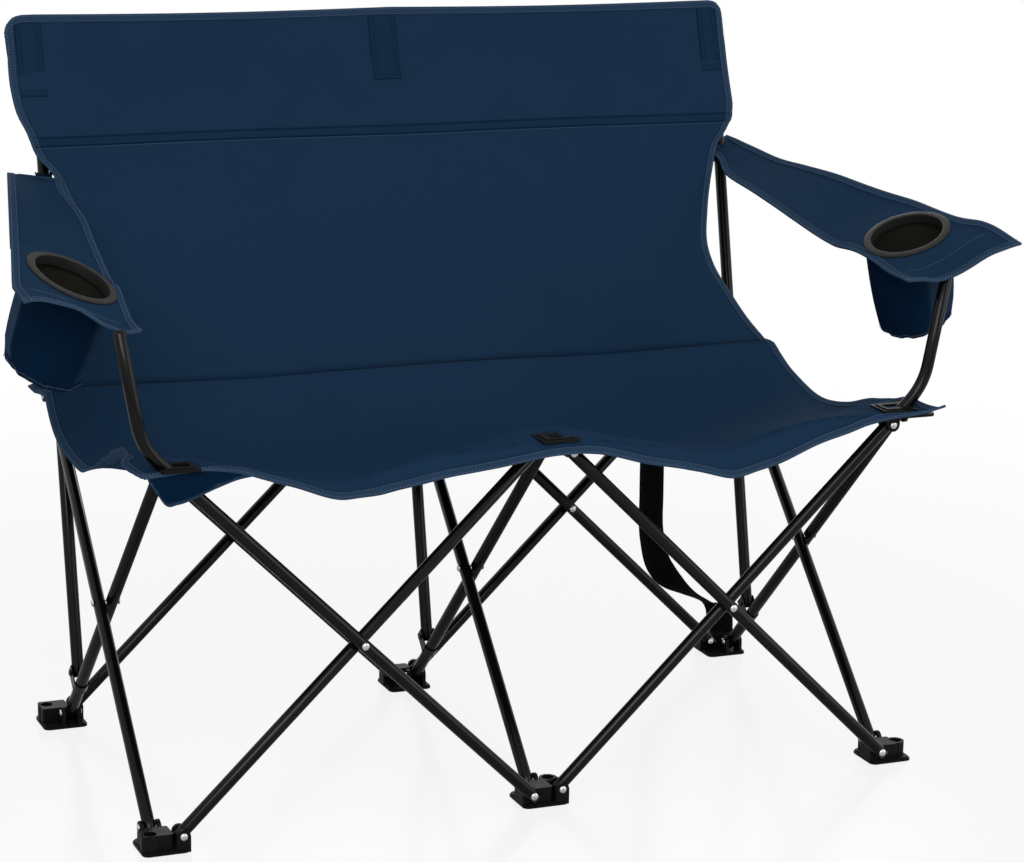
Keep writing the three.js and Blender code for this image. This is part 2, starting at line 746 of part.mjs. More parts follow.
const clampTop = clampBaseThickness + clampStepThickness + cutOverrun
addClampPlate('left', -cornerClampOuterReach, cornerClampInnerReach, frontLayers.falling,
  (body) => body.subtract(armPassage(1, frontLayers.falling, -cutOverrun, clampTop)))
addClampPlate('right', -cornerClampInnerReach, cornerClampOuterReach, frontLayers.rising,
  (body) => body.subtract(armPassage(-1, frontLayers.rising, -cutOverrun, clampTop)))
addClampPlate('centre', -centreClampWidth / 2, centreClampWidth / 2, frontLayers.falling, (body) => {
  const at = new THREE.Vector3(0, frontLayers.falling, 0)
  const bossTop = clampBaseThickness + clampBossHeight
  return body
    .add(roundCut(clampBossRadius, 12, 0, bossTop, zAxis, at))
    .subtract(roundCut(clampHoleRadius, rivetSides, clampBaseThickness, bossTop + cutOverrun, zAxis, at))
})

// Cloth as a thin closed solid around a middle surface, given as rows of points

function clothSolid(rows, thickness) {
  const rowCount = rows.length
  const columnCount = rows[0].length
  const at = (i, j) => rows[Math.min(Math.max(i, 0), rowCount - 1)][Math.min(Math.max(j, 0), columnCount - 1)]
  const positions = []
  for (const side of [1, -1]) {
    for (let i = 0; i < rowCount; i++) {
      for (let j = 0; j < columnCount; j++) {
        const across = new THREE.Vector3().subVectors(at(i, j + 1), at(i, j - 1))
        const along = new THREE.Vector3().subVectors(at(i + 1, j), at(i - 1, j))
        const normal = new THREE.Vector3().crossVectors(across, along).normalize()
        const point = at(i, j).clone().addScaledVector(normal, side * thickness / 2)
        positions.push(point.x, point.y, point.z)
      }
    }
  }
  const under = rowCount * columnCount
  const index = []
  const quad = (a, b, c, d) => index.push(a, b, c, a, c, d)
  for (let i = 0; i < rowCount - 1; i++) {
    for (let j = 0; j < columnCount - 1; j++) {
      const a = i * columnCount + j
      const b = a + 1
      const c = a + columnCount + 1
      const d = a + columnCount
      quad(a, b, c, d)
      quad(under + d, under + c, under + b, under + a)
    }
  }
  const border = []
  for (let j = 0; j < columnCount - 1; j++) border.push(j)
  for (let i = 0; i < rowCount - 1; i++) border.push(i * columnCount + columnCount - 1)
  for (let j = columnCount - 1; j > 0; j--) border.push((rowCount - 1) * columnCount + j)
  for (let i = rowCount - 1; i > 0; i--) border.push(i * columnCount)
  border.forEach((a, k) => {
    const b = border[(k + 1) % border.length]
    quad(a, under + a, under + b, b)
  })
  const geometry = new THREE.BufferGeometry()
  geometry.setAttribute('position', new THREE.BufferAttribute(new Float32Array(positions), 3))
  geometry.setIndex(index)
  return solid(geometry)
}

// Seat: four panels that meet over the centre hubs and in the middle of each bay

const halfBay = baySpacing / 2
const seatTipStart = baySpacing + cornerClampOuterReach + cutOverrun

function distanceFromHubLine(x) {
  const beyond = Math.abs(x) - baySpacing
  return beyond > 0 ? 0 : halfBay - Math.abs(Math.abs(x) - halfBay)
}

function sagBetweenHubs(x) {
  const away = Math.max(distanceFromHubLine(x) - hubFlatHalfWidth, 0) / (halfBay - hubFlatHalfWidth)
  return 1 - (1 - away) ** hemRoundness
}

function seatPoint(x, k) {
  const sag = sagBetweenHubs(x)
  const beyondCorner = Math.max(Math.abs(x) - seatTipStart, 0) / (seatHalfWidth - seatTipStart)
  const atTip = k < 2 ? beyondCorner : 0
  const front = frontRow - seatFrontBeyondCorner + seatHemDrawIn * sag
  const rear = rearRow - seatRearEdgeInset
  const y = front + (rear - front) * seatDepthShares[k] - seatTipBeyondHem * atTip
  const drop = hubLineSag * hubLineSagShares[k] * (1 - sag) + baySag * baySagShares[k] * sag
    - seatTipLift * atTip
  return new THREE.Vector3(x, y, seatLevel - drop)
}

function seatPanel(xs) {
  return clothSolid(seatDepthShares.map((_, k) => xs.map((x) => seatPoint(x, k))), clothThickness)
}

const innerColumns = [0, ...bayColumnShares.map((share) =>
  hubFlatHalfWidth + share * (halfBay - hubFlatHalfWidth))]
const trimmed = (xs) => [xs[0] + panelGap / 2, ...xs.slice(1, -1), xs[xs.length - 1] - panelGap / 2]
const innerRight = trimmed(innerColumns)
const outerRight = [...innerColumns.map((x) => baySpacing - x).reverse(), seatTipStart, seatHalfWidth]
outerRight[0] += panelGap / 2
const mirrored = (xs) => xs.map((x) => -x).reverse()

function cutPassage(panel, column, side, layer) {
  const slot = armPassage(side, layer, -cutOverrun, clothThickness + cutOverrun + seatTipLift)
  return panel.subtract(slot.translate(
    [columnOf[column], frontRow, seatLevel - clothThickness / 2]))
}

addPiece('outer_left_seat_panel',
  geometryOf(cutPassage(seatPanel(mirrored(outerRight)), 'left', 1, frontLayers.falling)), navyCloth)
addPiece('inner_left_seat_panel', geometryOf(seatPanel(mirrored(innerRight))), navyCloth)
addPiece('inner_right_seat_panel', geometryOf(seatPanel(innerRight)), navyCloth)
addPiece('outer_right_seat_panel',
  geometryOf(cutPassage(seatPanel(outerRight), 'right', -1, frontLayers.rising)), navyCloth)

// Back: one sling from the crease to the post tops, with three pockets for the posts

const backRise = backTopHeight - creaseHeight
const forwardAtCrease = postYAt(creaseHeight) - backTopToPost - (rearRow - creaseAheadOfRearRow)
const backRows = backHeightShares.map((share, k) => {
  const z = creaseHeight + creaseLift + (backRise - creaseLift) * share
  const y = postYAt(z) - backTopToPost - forwardAtCrease * backForwardShares[k]
  const halfWidth = backHalfWidth * backWidthShares[k]
  return Array.from({ length: backColumns + 1 }, (_, j) =>
    new THREE.Vector3(halfWidth * (2 * j / backColumns - 1), y, z))
})

function postPocket(x) {
  const top = backTopHeight
  const bottom = backTopHeight - pocketLength
  const depth = tubeRadius + pocketPlay + pocketWall
  const outline = [
    [postYAt(bottom) - backTopToPost, bottom], [postYAt(bottom) + depth, bottom],
    [postYAt(top) + depth, top], [postYAt(top) - backTopToPost, top]
  ]
  const shape = new THREE.Shape(outline.map(([y, z]) => new THREE.Vector2(y, z)))
  const sleeve = new THREE.ExtrudeGeometry(shape, { depth: 2 * pocketHalfWidth, bevelEnabled: false })
  sleeve.translate(0, 0, -pocketHalfWidth)
  sleeve.applyMatrix4(new THREE.Matrix4().makeBasis(yAxis, zAxis, xAxis))
  sleeve.translate(x, 0, 0)
  return solid(sleeve)
}

function postBore(x) {
  const direction = new THREE.Vector3(0, postLean.slope, 1).normalize()
  const foot = new THREE.Vector3(x, postYAt(backTopHeight - pocketLength), backTopHeight - pocketLength)
  const length = (postTopHeight + pocketPlay - foot.z) / direction.z
  return roundCut(tubeRadius + pocketPlay, 12, -pocketLength, length, direction, foot)
}

let back = clothSolid(backRows, clothThickness)
for (const x of Object.values(columnOf)) {
  back = back.add(postPocket(x + sideOffset))
}
for (const x of Object.values(columnOf)) {
  back = back.subtract(postBore(x + sideOffset))
}
addPiece('back_sling', geometryOf(back), navyCloth)

// Armrests: a cloth band from the post to the arm tube, with a cup ring and a hanging pouch

const armRowShares = [0, 0.06, 0.2, 0.34, 0.48, 0.6, 0.7, 0.8, 0.9, 0.96, 1]
const armColumnShares = [0, 0.25, 0.5, 0.75, 1]
const armElbowShare = 0.06
const postAtArm = postYAt(armRearHeight)
const armFrontHeight = armTubeTopHeight - armFrontBelowTubeTop
const armRearInnerX = baySpacing - armRearInnerInset
const armRearInnerY = postAtArm + armRearInnerBehindPost
const armRearOuterX = baySpacing + armRearOuterReach
const armRearOuterY = postAtArm + armRearOuterBehindPost
const armElbowX = baySpacing - armElbowInset
const armElbowY = postAtArm - armElbowAheadOfPost
const armFrontInnerX = baySpacing + armFrontInnerReach
const armFrontInnerY = frontRow - armFrontInnerAhead
const armFrontOuterX = baySpacing + armFrontOuterReach
const armFrontOuterY = frontRow - armFrontOuterAhead
const armFrontHemY = frontRow - armFrontHemAhead
const cupCentreX = baySpacing + cupCentreReach
const cupCentreY = frontRow + cupBehindFrontRow

function armEdge(side, share) {
  const lerp = THREE.MathUtils.lerp
  const swing = side < 0 ? leftArmSwing * share : 0
  const spread = side < 0 ? leftArmSpread : 0
  const toElbow = Math.min(share / armElbowShare, 1)
  const pastElbow = Math.max(share - armElbowShare, 0) / (1 - armElbowShare)
  const inner = {
    x: lerp(lerp(armRearInnerX, armElbowX, toElbow), armFrontInnerX, pastElbow) + swing,
    y: lerp(lerp(armRearInnerY, armElbowY, toElbow), armFrontInnerY, pastElbow)
  }
  const outer = {
    x: Math.min(lerp(armRearOuterX, armFrontOuterX + spread, share), armFrontOuterX),
    y: lerp(armRearOuterY, armFrontOuterY, share)
  }
  return { inner, outer }
}

function armPoint(side, share, across) {
  const { inner, outer } = armEdge(side, share)
  const x = THREE.MathUtils.lerp(inner.x, outer.x, across)
  const bow = (armFrontHemY - Math.min(armFrontInnerY, armFrontOuterY)) * Math.sin(Math.PI * across) * share
  const y = THREE.MathUtils.lerp(inner.y, outer.y, across) + bow
  const rise = THREE.MathUtils.lerp(armRearRise, armFrontRise, share)
  const z = THREE.MathUtils.lerp(armRearHeight, armFrontHeight, share) + rise * across
  return new THREE.Vector3(side * x, y, z)
}

// The place of the cup on the band, found along the two directions of the band
function cupPlace(side) {
  let share = 0.8
  let across = 0.5
  for (let k = 0; k < 8; k++) {
    const { inner, outer } = armEdge(side, share)
    const swing = side < 0 ? leftArmSwing * share : 0
    across = (cupCentreX + swing - inner.x) / (outer.x - inner.x)
    const y = armPoint(side, share, across).y
    share += (y - cupCentreY) / (armRearInnerY - armFrontInnerY)
  }
  const step = 0.02
  const centre = armPoint(side, share, across)
  const forward = armPoint(side, share + step, across).sub(armPoint(side, share - step, across))
  const outward = armPoint(side, share, across + step).sub(armPoint(side, share, across - step))
  const up = new THREE.Vector3().crossVectors(forward, outward).multiplyScalar(-side).normalize()
  const level = outward.normalize()
  return { origin: centre, turn: turnTo(up.z < 0 ? up.negate() : up, level) }
}

function latheUpright(profile, sides) {
  const turned = new THREE.LatheGeometry(profile.map(([r, z]) => new THREE.Vector2(r, z)), sides)
  turned.rotateX(Math.PI / 2)
  return turned
}

function addArmrest(sideName, side) {
  const place = cupPlace(side)
  const clothTop = clothThickness / 2
  const ringBottom = clothTop + seatedGap
  const skirtRadius = cupRingInnerRadius + cupSkirtWall
  const holeRadius = skirtRadius + cheekPlay
  const ring = latheUpright([
    [cupRingInnerRadius, ringBottom - cupSkirtDepth], [skirtRadius, ringBottom - cupSkirtDepth],
    [skirtRadius, ringBottom], [cupRingOuterRadius, ringBottom],
    [cupRingOuterRadius, ringBottom + cupRingThickness / 2],
    [cupRingOuterRadius - cupRingThickness / 2, ringBottom + cupRingThickness],
    [cupRingInnerRadius + cupRingThickness / 2, ringBottom + cupRingThickness],
    [cupRingInnerRadius, ringBottom + cupRingThickness / 2],
    [cupRingInnerRadius, ringBottom - cupSkirtDepth]
  ], cupSides)
  addPiece(`${sideName}_cup_ring`, ring, blackPlastic, place)

  const toBand = new THREE.Matrix4().compose(place.origin, place.turn, new THREE.Vector3(1, 1, 1))
  const pouch = solid(latheUpright([
    [0, -pouchDepth], [pouchBottomRadius, -pouchDepth], [pouchTopRadius, 0],
    [pouchTopRadius - clothThickness, 0], [pouchBottomRadius - clothThickness, -pouchDepth + clothThickness],
    [0, -pouchDepth + clothThickness]
  ], pouchSides).applyMatrix4(toBand))
  const hole = solid(latheUpright([
    [0, -cupSkirtDepth], [holeRadius, -cupSkirtDepth], [holeRadius, cupSkirtDepth], [0, cupSkirtDepth]
  ], cupSides).applyMatrix4(toBand))
  const ringRoom = solid(latheUpright([
    [0, clothTop], [cupRingOuterRadius + cheekPlay, clothTop],
    [cupRingOuterRadius + cheekPlay, cupSkirtDepth], [0, cupSkirtDepth]
  ], cupSides).applyMatrix4(toBand))

  const rows = armRowShares.map((share) => {
    const across = side > 0 ? armColumnShares : [...armColumnShares].reverse()
    return across.map((a) => armPoint(side, share, a)).reverse()
  })
  let band = clothSolid(rows, clothThickness).add(pouch).subtract(hole).subtract(ringRoom)
  band = band.subtract(postClearance(side))
  addPiece(`${sideName}_armrest`, geometryOf(band), navyCloth)
}

function postClearance(side) {
  const x = side * baySpacing + sideOffset
  const direction = new THREE.Vector3(0, postLean.slope, 1).normalize()
  const middle = new THREE.Vector3(x, postYAt(armRearHeight), armRearHeight)
  const reach = 3 * tubeDiameter
  return roundCut(tubeRadius + cheekPlay, 12, -reach, reach, direction, middle)
}

addArmrest('left', -1)
addArmrest('right', 1)

// Carry strap: webbing with its route and the way its face points at each place

const strapOnBack = clothThickness / 2 + seatedGap + strapThickness / 2
const strapTop = backTopHeight - strapTopInset
const headSeam = creaseHeight + creaseLift + (backRise - creaseLift) * headSeamShare
const onBack = (height) => postYAt(height) - backTopToPost + strapOnBack
// Shares of the bay, of the frame's depth and of its depth again as a height, down to the foot's ring
const strapWayShares = [
  [0.806, 0.644, 1.28], [0.804, 0.62, 0.96], [0.804, 0.594, 0.68], [0.802, 0.584, 0.48],
  [0.804, 0.578, 0.35], [0.828, 0.576, 0.26], [0.876, 0.576, 0.2], [0.932, 0.574, 0.16],
  [0.984, 0.57, 0.132], [1.02, 0.562, 0.104], [1.03, 0.554, 0.068], [1.03, 0.5536, 0.0106]
]
const strapTurnDegrees = [0, 0, 0, 0, 0, 0, 8, 30, 55, 75, 80, 40, 4, 0]
const strapRoute = [
  new THREE.Vector3(baySpacing * strapTopShare, onBack(strapTop), strapTop),
  new THREE.Vector3(baySpacing * strapTopShare, onBack(headSeam), headSeam),
  ...strapWayShares.map(([x, y, z]) => new THREE.Vector3(x * baySpacing, y * frameDepth, z * frameDepth))
]

function strapSolid() {
  const path = new THREE.CatmullRomCurve3(strapRoute)
  const count = strapRoute.length
  const positions = []
  const index = []
  for (let i = 0; i < count; i++) {
    const t = i / (count - 1)
    const centre = path.getPoint(t)
    const along = path.getTangent(t)
    const turn = THREE.MathUtils.degToRad(strapTurnDegrees[i])
    const face = new THREE.Vector3(0, Math.cos(turn), Math.sin(turn))
    const across = new THREE.Vector3().crossVectors(along, face).normalize()
    const normal = new THREE.Vector3().crossVectors(across, along).normalize()
    for (const [w, t2] of [[-1, -1], [1, -1], [1, 1], [-1, 1]]) {
      const corner = centre.clone()
        .addScaledVector(across, w * strapWidth / 2)
        .addScaledVector(normal, t2 * strapThickness / 2)
      positions.push(corner.x, corner.y, corner.z)
    }
  }
  for (let i = 0; i < count - 1; i++) {
    for (let k = 0; k < 4; k++) {
      const a = 4 * i + k
      const b = 4 * i + (k + 1) % 4
      index.push(a, b + 4, b, a, a + 4, b + 4)
    }
  }
  const last = 4 * (count - 1)
  index.push(0, 1, 2, 0, 2, 3, last, last + 2, last + 1, last, last + 3, last + 2)
  const geometry = new THREE.BufferGeometry()
  geometry.setAttribute('position', new THREE.BufferAttribute(new Float32Array(positions), 3))
  geometry.setIndex(index)
  return geometry
}

addPiece('carry_strap', strapSolid(), blackWebbing)

export default chair
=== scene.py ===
import bpy
import math
import numpy as np
from mathutils import Matrix, Vector

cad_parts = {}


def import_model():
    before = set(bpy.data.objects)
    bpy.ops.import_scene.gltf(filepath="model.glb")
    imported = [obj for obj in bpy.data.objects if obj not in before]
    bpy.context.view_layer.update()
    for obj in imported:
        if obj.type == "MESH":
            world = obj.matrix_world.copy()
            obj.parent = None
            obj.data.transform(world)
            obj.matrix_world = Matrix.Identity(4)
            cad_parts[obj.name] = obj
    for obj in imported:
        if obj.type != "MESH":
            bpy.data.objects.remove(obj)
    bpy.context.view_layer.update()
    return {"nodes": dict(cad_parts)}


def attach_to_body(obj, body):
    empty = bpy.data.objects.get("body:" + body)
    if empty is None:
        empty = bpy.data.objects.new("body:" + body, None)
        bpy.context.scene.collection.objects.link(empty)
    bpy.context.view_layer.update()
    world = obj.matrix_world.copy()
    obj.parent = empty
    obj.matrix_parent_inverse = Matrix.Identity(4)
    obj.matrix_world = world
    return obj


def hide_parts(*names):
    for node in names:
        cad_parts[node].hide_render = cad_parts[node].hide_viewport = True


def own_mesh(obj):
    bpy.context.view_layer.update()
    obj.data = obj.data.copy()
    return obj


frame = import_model()

# Lengths are in millimetres, and mm() turns points into the frame's metres.
SHIFT_Y = -23.0  # from this file's depths to the frame's
BAY = 500.0
DEPTH = 500.0
INSET = 22.0
FOOT_Z = 20.0
HUB_Z = 464.0
TUBE_R = 8.0
LAYER = {"ff": -279.0, "fr": -262.0, "rf": 242.0, "rr": 259.0}
SIDE = 8.5
FRONT_Y = -DEPTH / 2 + INSET
REAR_Y = DEPTH / 2 - INSET
COLUMN = {"left": -BAY, "centre": 0.0, "right": BAY}
CLIP_S = 82.0
CLIP_E = 19.0
POST_TOP = (367.5, 936.0)
SEAT_LEVEL = 481.0


def mm(points):
    p = np.asarray(points, float).reshape(-1, 3) / 1000.0
    return p + np.array([0.0, SHIFT_Y / 1000.0, 0.0])


def add_object(name, data):
    made = bpy.data.objects.new(name, data)
    bpy.context.scene.collection.objects.link(made)
    return made


# Camera

def add_camera():
    data = bpy.data.cameras.new("camera")
    data.sensor_fit = "HORIZONTAL"
    data.sensor_width = 36.0
    data.lens = 36.0 * 3046.68 / 1024
    cam = add_object("camera", data)
    az, el, roll = (math.radians(v) for v in (-22.46, 13.45, 1.05))
    back = Vector((math.sin(az) * math.cos(el), -math.cos(az) * math.cos(el), math.sin(el)))
    right = (-back).cross(Vector((0, 0, 1))).normalized()
    up = right.cross(-back)
    turned_right = right * math.cos(roll) + up * math.sin(roll)
    turned_up = up * math.cos(roll) - right * math.sin(roll)
    turn = Matrix((turned_right, turned_up, back)).transposed().to_4x4()
    place = Vector(mm([-1448.03, -3639.30, 1366.50])[0])
    cam.matrix_world = Matrix.Translation(place) @ turn
    data.clip_end = 60
    bpy.context.scene.camera = cam


add_camera()
bpy.context.scene.view_settings.view_transform = "Standard"


# Shader expressions

class Val:
    """A socket of a node tree; arithmetic on it adds Math nodes to that tree."""

    def __init__(self, tree, socket):
        self.tree = tree
        self.socket = socket

    def node(self, kind, inputs=(), output=0, **settings):
        made = self.tree.nodes.new(kind)
        for key, value in settings.items():
            setattr(made, key, value)
        for key, value in dict(inputs).items():
            if isinstance(value, Val):
                self.tree.links.new(value.socket, made.inputs[key])
            elif made.inputs[key].type == "RGBA" and len(value) == 3:
                made.inputs[key].default_value = (*value, 1.0)
            else:
                made.inputs[key].default_value = value
        return Val(self.tree, made.outputs[output])

    def math(self, operation, *others):
        inputs = {i: v for i, v in enumerate((self,) + others)}
        return self.node("ShaderNodeMath", inputs, operation=operation)

    def __add__(self, other):
        return self.math("ADD", other)

    def __sub__(self, other):
        return self.math("SUBTRACT", other)

    def __mul__(self, other):
        return self.math("MULTIPLY", other)

    def __rsub__(self, other):
        return self * -1.0 + other

    __radd__ = __add__
    __rmul__ = __mul__

    def sin(self):
        return self.math("SINE")

    def axis(self, index):
        return self.node("ShaderNodeSeparateXYZ", {0: self}, index)

    def clamp(self):
        return self.node("ShaderNodeClamp", {0: self})

    def step(self, low, high):
        return self.node("ShaderNodeMapRange", {0: self, 1: low, 2: high},
                         interpolation_type="SMOOTHSTEP")

    def noise(self, scale, detail=3.0, rough=0.55):
        return self.node("ShaderNodeTexNoise", {"Vector": self, "Scale": scale,
                                                "Detail": detail, "Roughness": rough})

    def mix(self, low, high):
        """A colour between two, by this value."""
        return self.node("ShaderNodeMix", {0: self, 6: low, 7: high}, 2, data_type="RGBA")

    def blend(self, first, second):
        """A shader between two, by this value."""
        return self.node("ShaderNodeMixShader", {0: self, 1: first, 2: second})


class Finish:
    """A Principled material, its sockets and the object coordinate to start from."""

    def __init__(self, name, **constants):
        self.material = bpy.data.materials.new(name)
        self.material.use_nodes = True
        self.tree = self.material.node_tree
        self.shader = self.tree.nodes["Principled BSDF"]
        for key, value in constants.items():
            self.shader.inputs[key.replace("_", " ")].default_value = value
        coordinate = self.tree.nodes.new("ShaderNodeTexCoord")
        self.where = Val(self.tree, coordinate.outputs["Object"])
        self.uv = Val(self.tree, coordinate.outputs["UV"])

    def attribute(self, name):
        return self.where.node("ShaderNodeAttribute", {}, output=2, attribute_name=name)

    def set(self, **values):
        for key, value in values.items():
            self.tree.links.new(value.socket, self.shader.inputs[key.replace("_", " ")])
        return self.material

    def bump(self, height, distance, strength=1.0, normal=None):
        inputs = {"Height": height, "Distance": distance, "Strength": strength}
        if normal is not None:
            inputs["Normal"] = normal
        return height.node("ShaderNodeBump", inputs)


CLOTH_DARK = (0.0090, 0.0280, 0.062)
CLOTH_LIGHT = (0.0138, 0.0388, 0.081)
# paler colour for the hems, and painted light on the side of a pouch that faces the lamps
HEM_PALE_AND_PAINTED_LIGHT = (0.033, 0.062, 0.110)
# the colour of painted shade in creases, grooves, folds and undersides
PAINTED_SHADE_COLOUR = (0.0030, 0.0130, 0.036)


def woven(name, dark, light, hem_pale_and_painted_light=HEM_PALE_AND_PAINTED_LIGHT, painted_shade=PAINTED_SHADE_COLOUR, pitch=0.0011, rough=0.85, pucker=True):
    """Plain weave; the attribute hem makes it paler, along hems and as painted light on the side of a pouch
    that faces the lamps. The other attribute makes it darker, as painted shade in creases, grooves, folds and
    undersides.
    """
    f = Finish(name, Specular_IOR_Level=0.02)
    turns = 2 * math.pi / pitch
    warp = (f.uv.axis(0) * turns).sin()
    weft = (f.uv.axis(1) * turns).sin()
    weave = warp * weft * 0.5 + 0.5
    blotch = f.where.noise(9.0, 4.0)
    fibre = f.where.noise(900.0, 2.0)
    thread_line = f.where.noise(160.0, 3.0)
    shade = (weave * 0.3 + fibre * 0.35 + blotch * 0.35).clamp()
    pale = (f.attribute("hem") * (thread_line * 0.7 + 0.65)).clamp()
    # painted shade, from the second attribute
    deep = f.attribute("painted_shade").clamp()
    f.set(Base_Color=deep.mix(pale.mix(shade.mix(dark, light), hem_pale_and_painted_light), painted_shade))
    f.set(Roughness=(fibre * 0.12 + (rough - 0.06)).clamp())
    fine = f.bump(weave, 0.0002, 0.5)
    soft = f.bump(f.where.noise(30.0, 3.0), 0.0018, 0.45, fine)
    if pucker:
        soft = f.bump(thread_line * f.attribute("hem"), 0.0016, 0.7, soft)
    return f.set(Normal=soft)


def painted(name):
    f = Finish(name, Specular_IOR_Level=0.15)
    cloud = f.where.noise(60.0, 3.0)
    scuff = f.where.noise(420.0, 4.0, 0.7).step(0.68, 0.8)
    f.set(Base_Color=(cloud * 0.6 + scuff * 0.5).clamp().mix((0.002, 0.002, 0.0022), (0.006, 0.006, 0.006)))
    f.set(Roughness=(cloud * 0.1 + scuff * 0.16 + 0.1).clamp())
    return f.set(Normal=f.bump(f.where.noise(520.0, 2.0), 0.00004, 0.4))


def moulded(name, low=(0.002, 0.002, 0.002), high=(0.006, 0.006, 0.0057), rough=0.42, gloss=0.1):
    f = Finish(name, Specular_IOR_Level=gloss)
    grain = f.where.noise(1500.0, 2.0)
    cloud = f.where.noise(40.0, 3.0)
    f.set(Base_Color=(grain * 0.5 + cloud * 0.5).clamp().mix(low, high))
    f.set(Roughness=(grain * 0.15 + cloud * 0.12 + rough - 0.1).clamp())
    return f.set(Normal=f.bump(grain, 0.0001, 0.6))


def metal(name):
    f = Finish(name, Metallic=1.0)
    scratch = f.where.noise(1300.0, 3.0)
    f.set(Base_Color=scratch.mix((0.42, 0.43, 0.45), (0.72, 0.73, 0.74)))
    f.set(Roughness=(scratch * 0.22 + 0.16).clamp())
    return f.set(Normal=f.bump(scratch, 0.00005, 0.4))


PLY_TURNS = 5200.0


def thread(name, low, high):
    f = Finish(name, Specular_IOR_Level=0.1)
    ply = (f.where.axis(0) * PLY_TURNS + f.where.axis(2) * PLY_TURNS).sin() * 0.5 + 0.5
    f.set(Base_Color=ply.mix(low, high))
    return f.set(Roughness=(ply * 0.1 + 0.7).clamp())


NAVY = woven("navy cloth", CLOTH_DARK, CLOTH_LIGHT)
# a darker copy of the navy cloth: painted shade, for the pouches, the flap under the seat's hem and the
# armrest loops
NAVY_PAINTED_SHADE = woven("navy cloth painted shade", (0.0012, 0.0095, 0.027), (0.0028, 0.0150, 0.039))
WEBBING = woven("black webbing", (0.0015, 0.0015, 0.0016), (0.006, 0.006, 0.0058), (0.01, 0.01, 0.01),
                (0.001, 0.001, 0.001), 0.0018, 0.8, False)
PAINT = painted("black paint")
PLASTIC = moulded("moulded black")
RING_BLACK = moulded("cup ring black", (0.009, 0.0088, 0.0085), (0.017, 0.0165, 0.0155), 0.5, 0.15)
LINER = moulded("cup liner", (0.014, 0.014, 0.010), (0.024, 0.023, 0.017), 0.6, 0.1)
STEEL = metal("rivet steel")
THREAD = thread("navy thread", (0.055, 0.10, 0.17), (0.11, 0.17, 0.26))


# Mesh helpers

def attach(name, mesh, body):
    mesh.polygons.foreach_set("use_smooth", np.ones(len(mesh.polygons), bool))
    piece = add_object(name, mesh)
    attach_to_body(piece, body)
    return piece


def make(name, verts, faces, body, materials, uv, hem, painted_shade, indices=None, crisp=False):
    mesh = bpy.data.meshes.new(name)
    mesh.from_pydata(verts, [], faces)
    for m in materials:
        mesh.materials.append(m)
    if indices is not None:
        mesh.polygons.foreach_set("material_index", np.asarray(indices, np.int32))
    loops = np.zeros(len(mesh.loops), np.int32)
    mesh.loops.foreach_get("vertex_index", loops)
    layer = mesh.uv_layers.new(name="weave")
    layer.data.foreach_set("uv", np.asarray(uv, np.float32)[loops].ravel())
    # the first attribute makes the cloth paler, the second lays on painted shade
    for label, values in (("hem", hem), ("painted_shade", painted_shade)):
        layer = mesh.attributes.new(label, "FLOAT", "POINT")
        layer.data.foreach_set("value", np.asarray(values, np.float32))
    mesh.update()
    if crisp:
        mesh.set_sharp_from_angle(angle=math.radians(60))
    return attach(name, mesh, body)


class Parts:
    """Gathers several closed surfaces into one mesh."""

    def __init__(self):
        self.verts, self.faces, self.index, self.uv = [], [], [], []
        self.hem, self.painted_shade = [], []

    def add(self, verts, faces, material=0, uv=None, hem=None, painted_shade=None):
        base, count = len(self.verts), len(verts)
        self.verts += list(verts)
        self.faces += [tuple(base + i for i in f) for f in faces]
        self.index += [material] * len(faces)
        self.uv += uv or [(0.0, 0.0)] * count
        self.hem += hem or [0.0] * count
        self.painted_shade += painted_shade or [0.0] * count

    def make(self, name, body, slot, materials):
        return make(name, mm(self.verts), self.faces, body, materials, self.uv, self.hem,
                    self.painted_shade, self.index)


def loft(rings, closed_ends=True, flip=False):
    """Quads between rings of equal size."""
    n = len(rings[0])
    verts = [p for ring in rings for p in ring]
    faces = []
    for i in range(len(rings) - 1):
        for j in range(n):
            a, b = i * n + j, i * n + (j + 1) % n
            faces.append((a, b, b + n, a + n))
    if closed_ends:
        faces.append(tuple(range(n - 1, -1, -1)))
        faces.append(tuple((len(rings) - 1) * n + j for j in range(n)))
    if flip:
        faces = [f[::-1] for f in faces]
    return verts, faces


def unit(v):
    return v / np.linalg.norm(v)


def turns(count):
    return np.arange(count) * 2 * math.pi / count


def ring_points(centre, side, up, radius, count):
    a = turns(count)
    return centre + radius * (np.cos(a)[:, None] * side + np.sin(a)[:, None] * up)


TUBE_END = [(TUBE_R - 1.2, 12.0), (TUBE_R - 1.2, 0.0), (TUBE_R - 0.25, 0.0), (TUBE_R, 0.25)]


def bar_mesh(line, side, count=28):
    """A round bar with a bore at both ends, along a line; side is at right angles to it."""
    p = np.asarray(line, float)
    d = [unit(p[min(i + 1, len(p) - 1)] - p[max(i - 1, 0)]) for i in range(len(p))]
    last = len(p) - 1
    places = [(0, r, shift) for r, shift in TUBE_END] + [(i, TUBE_R, 0.0) for i in range(1, last)]
    places += [(last, r, -shift) for r, shift in TUBE_END[::-1]]
    return loft([ring_points(p[i] + d[i] * shift, side, np.cross(side, d[i]), r, count)
                 for i, r, shift in places])


def rivet_mesh(centre, axis, low, high, count=20):
    """Two domed heads on a shank."""
    seat = 0.3
    heads = [(0.0, 2.2), (1.6, 2.15), (3.2, 1.75), (4.4, 1.0), (5.0, 0.25), (5.0, 0.0), (3.0, 0.0)]
    profile = [(r, low - seat - h) for r, h in heads] + [(r, high + seat + h) for r, h in heads[::-1]]
    side = unit(np.cross(axis, (0.31, 0.2, 0.93)))
    up = np.cross(axis, side)
    rings = [ring_points(centre + axis * h, side, up, max(r, 0.02), count) for r, h in profile]
    return loft(rings)


# Frame bars

X, Y, Z = np.eye(3)
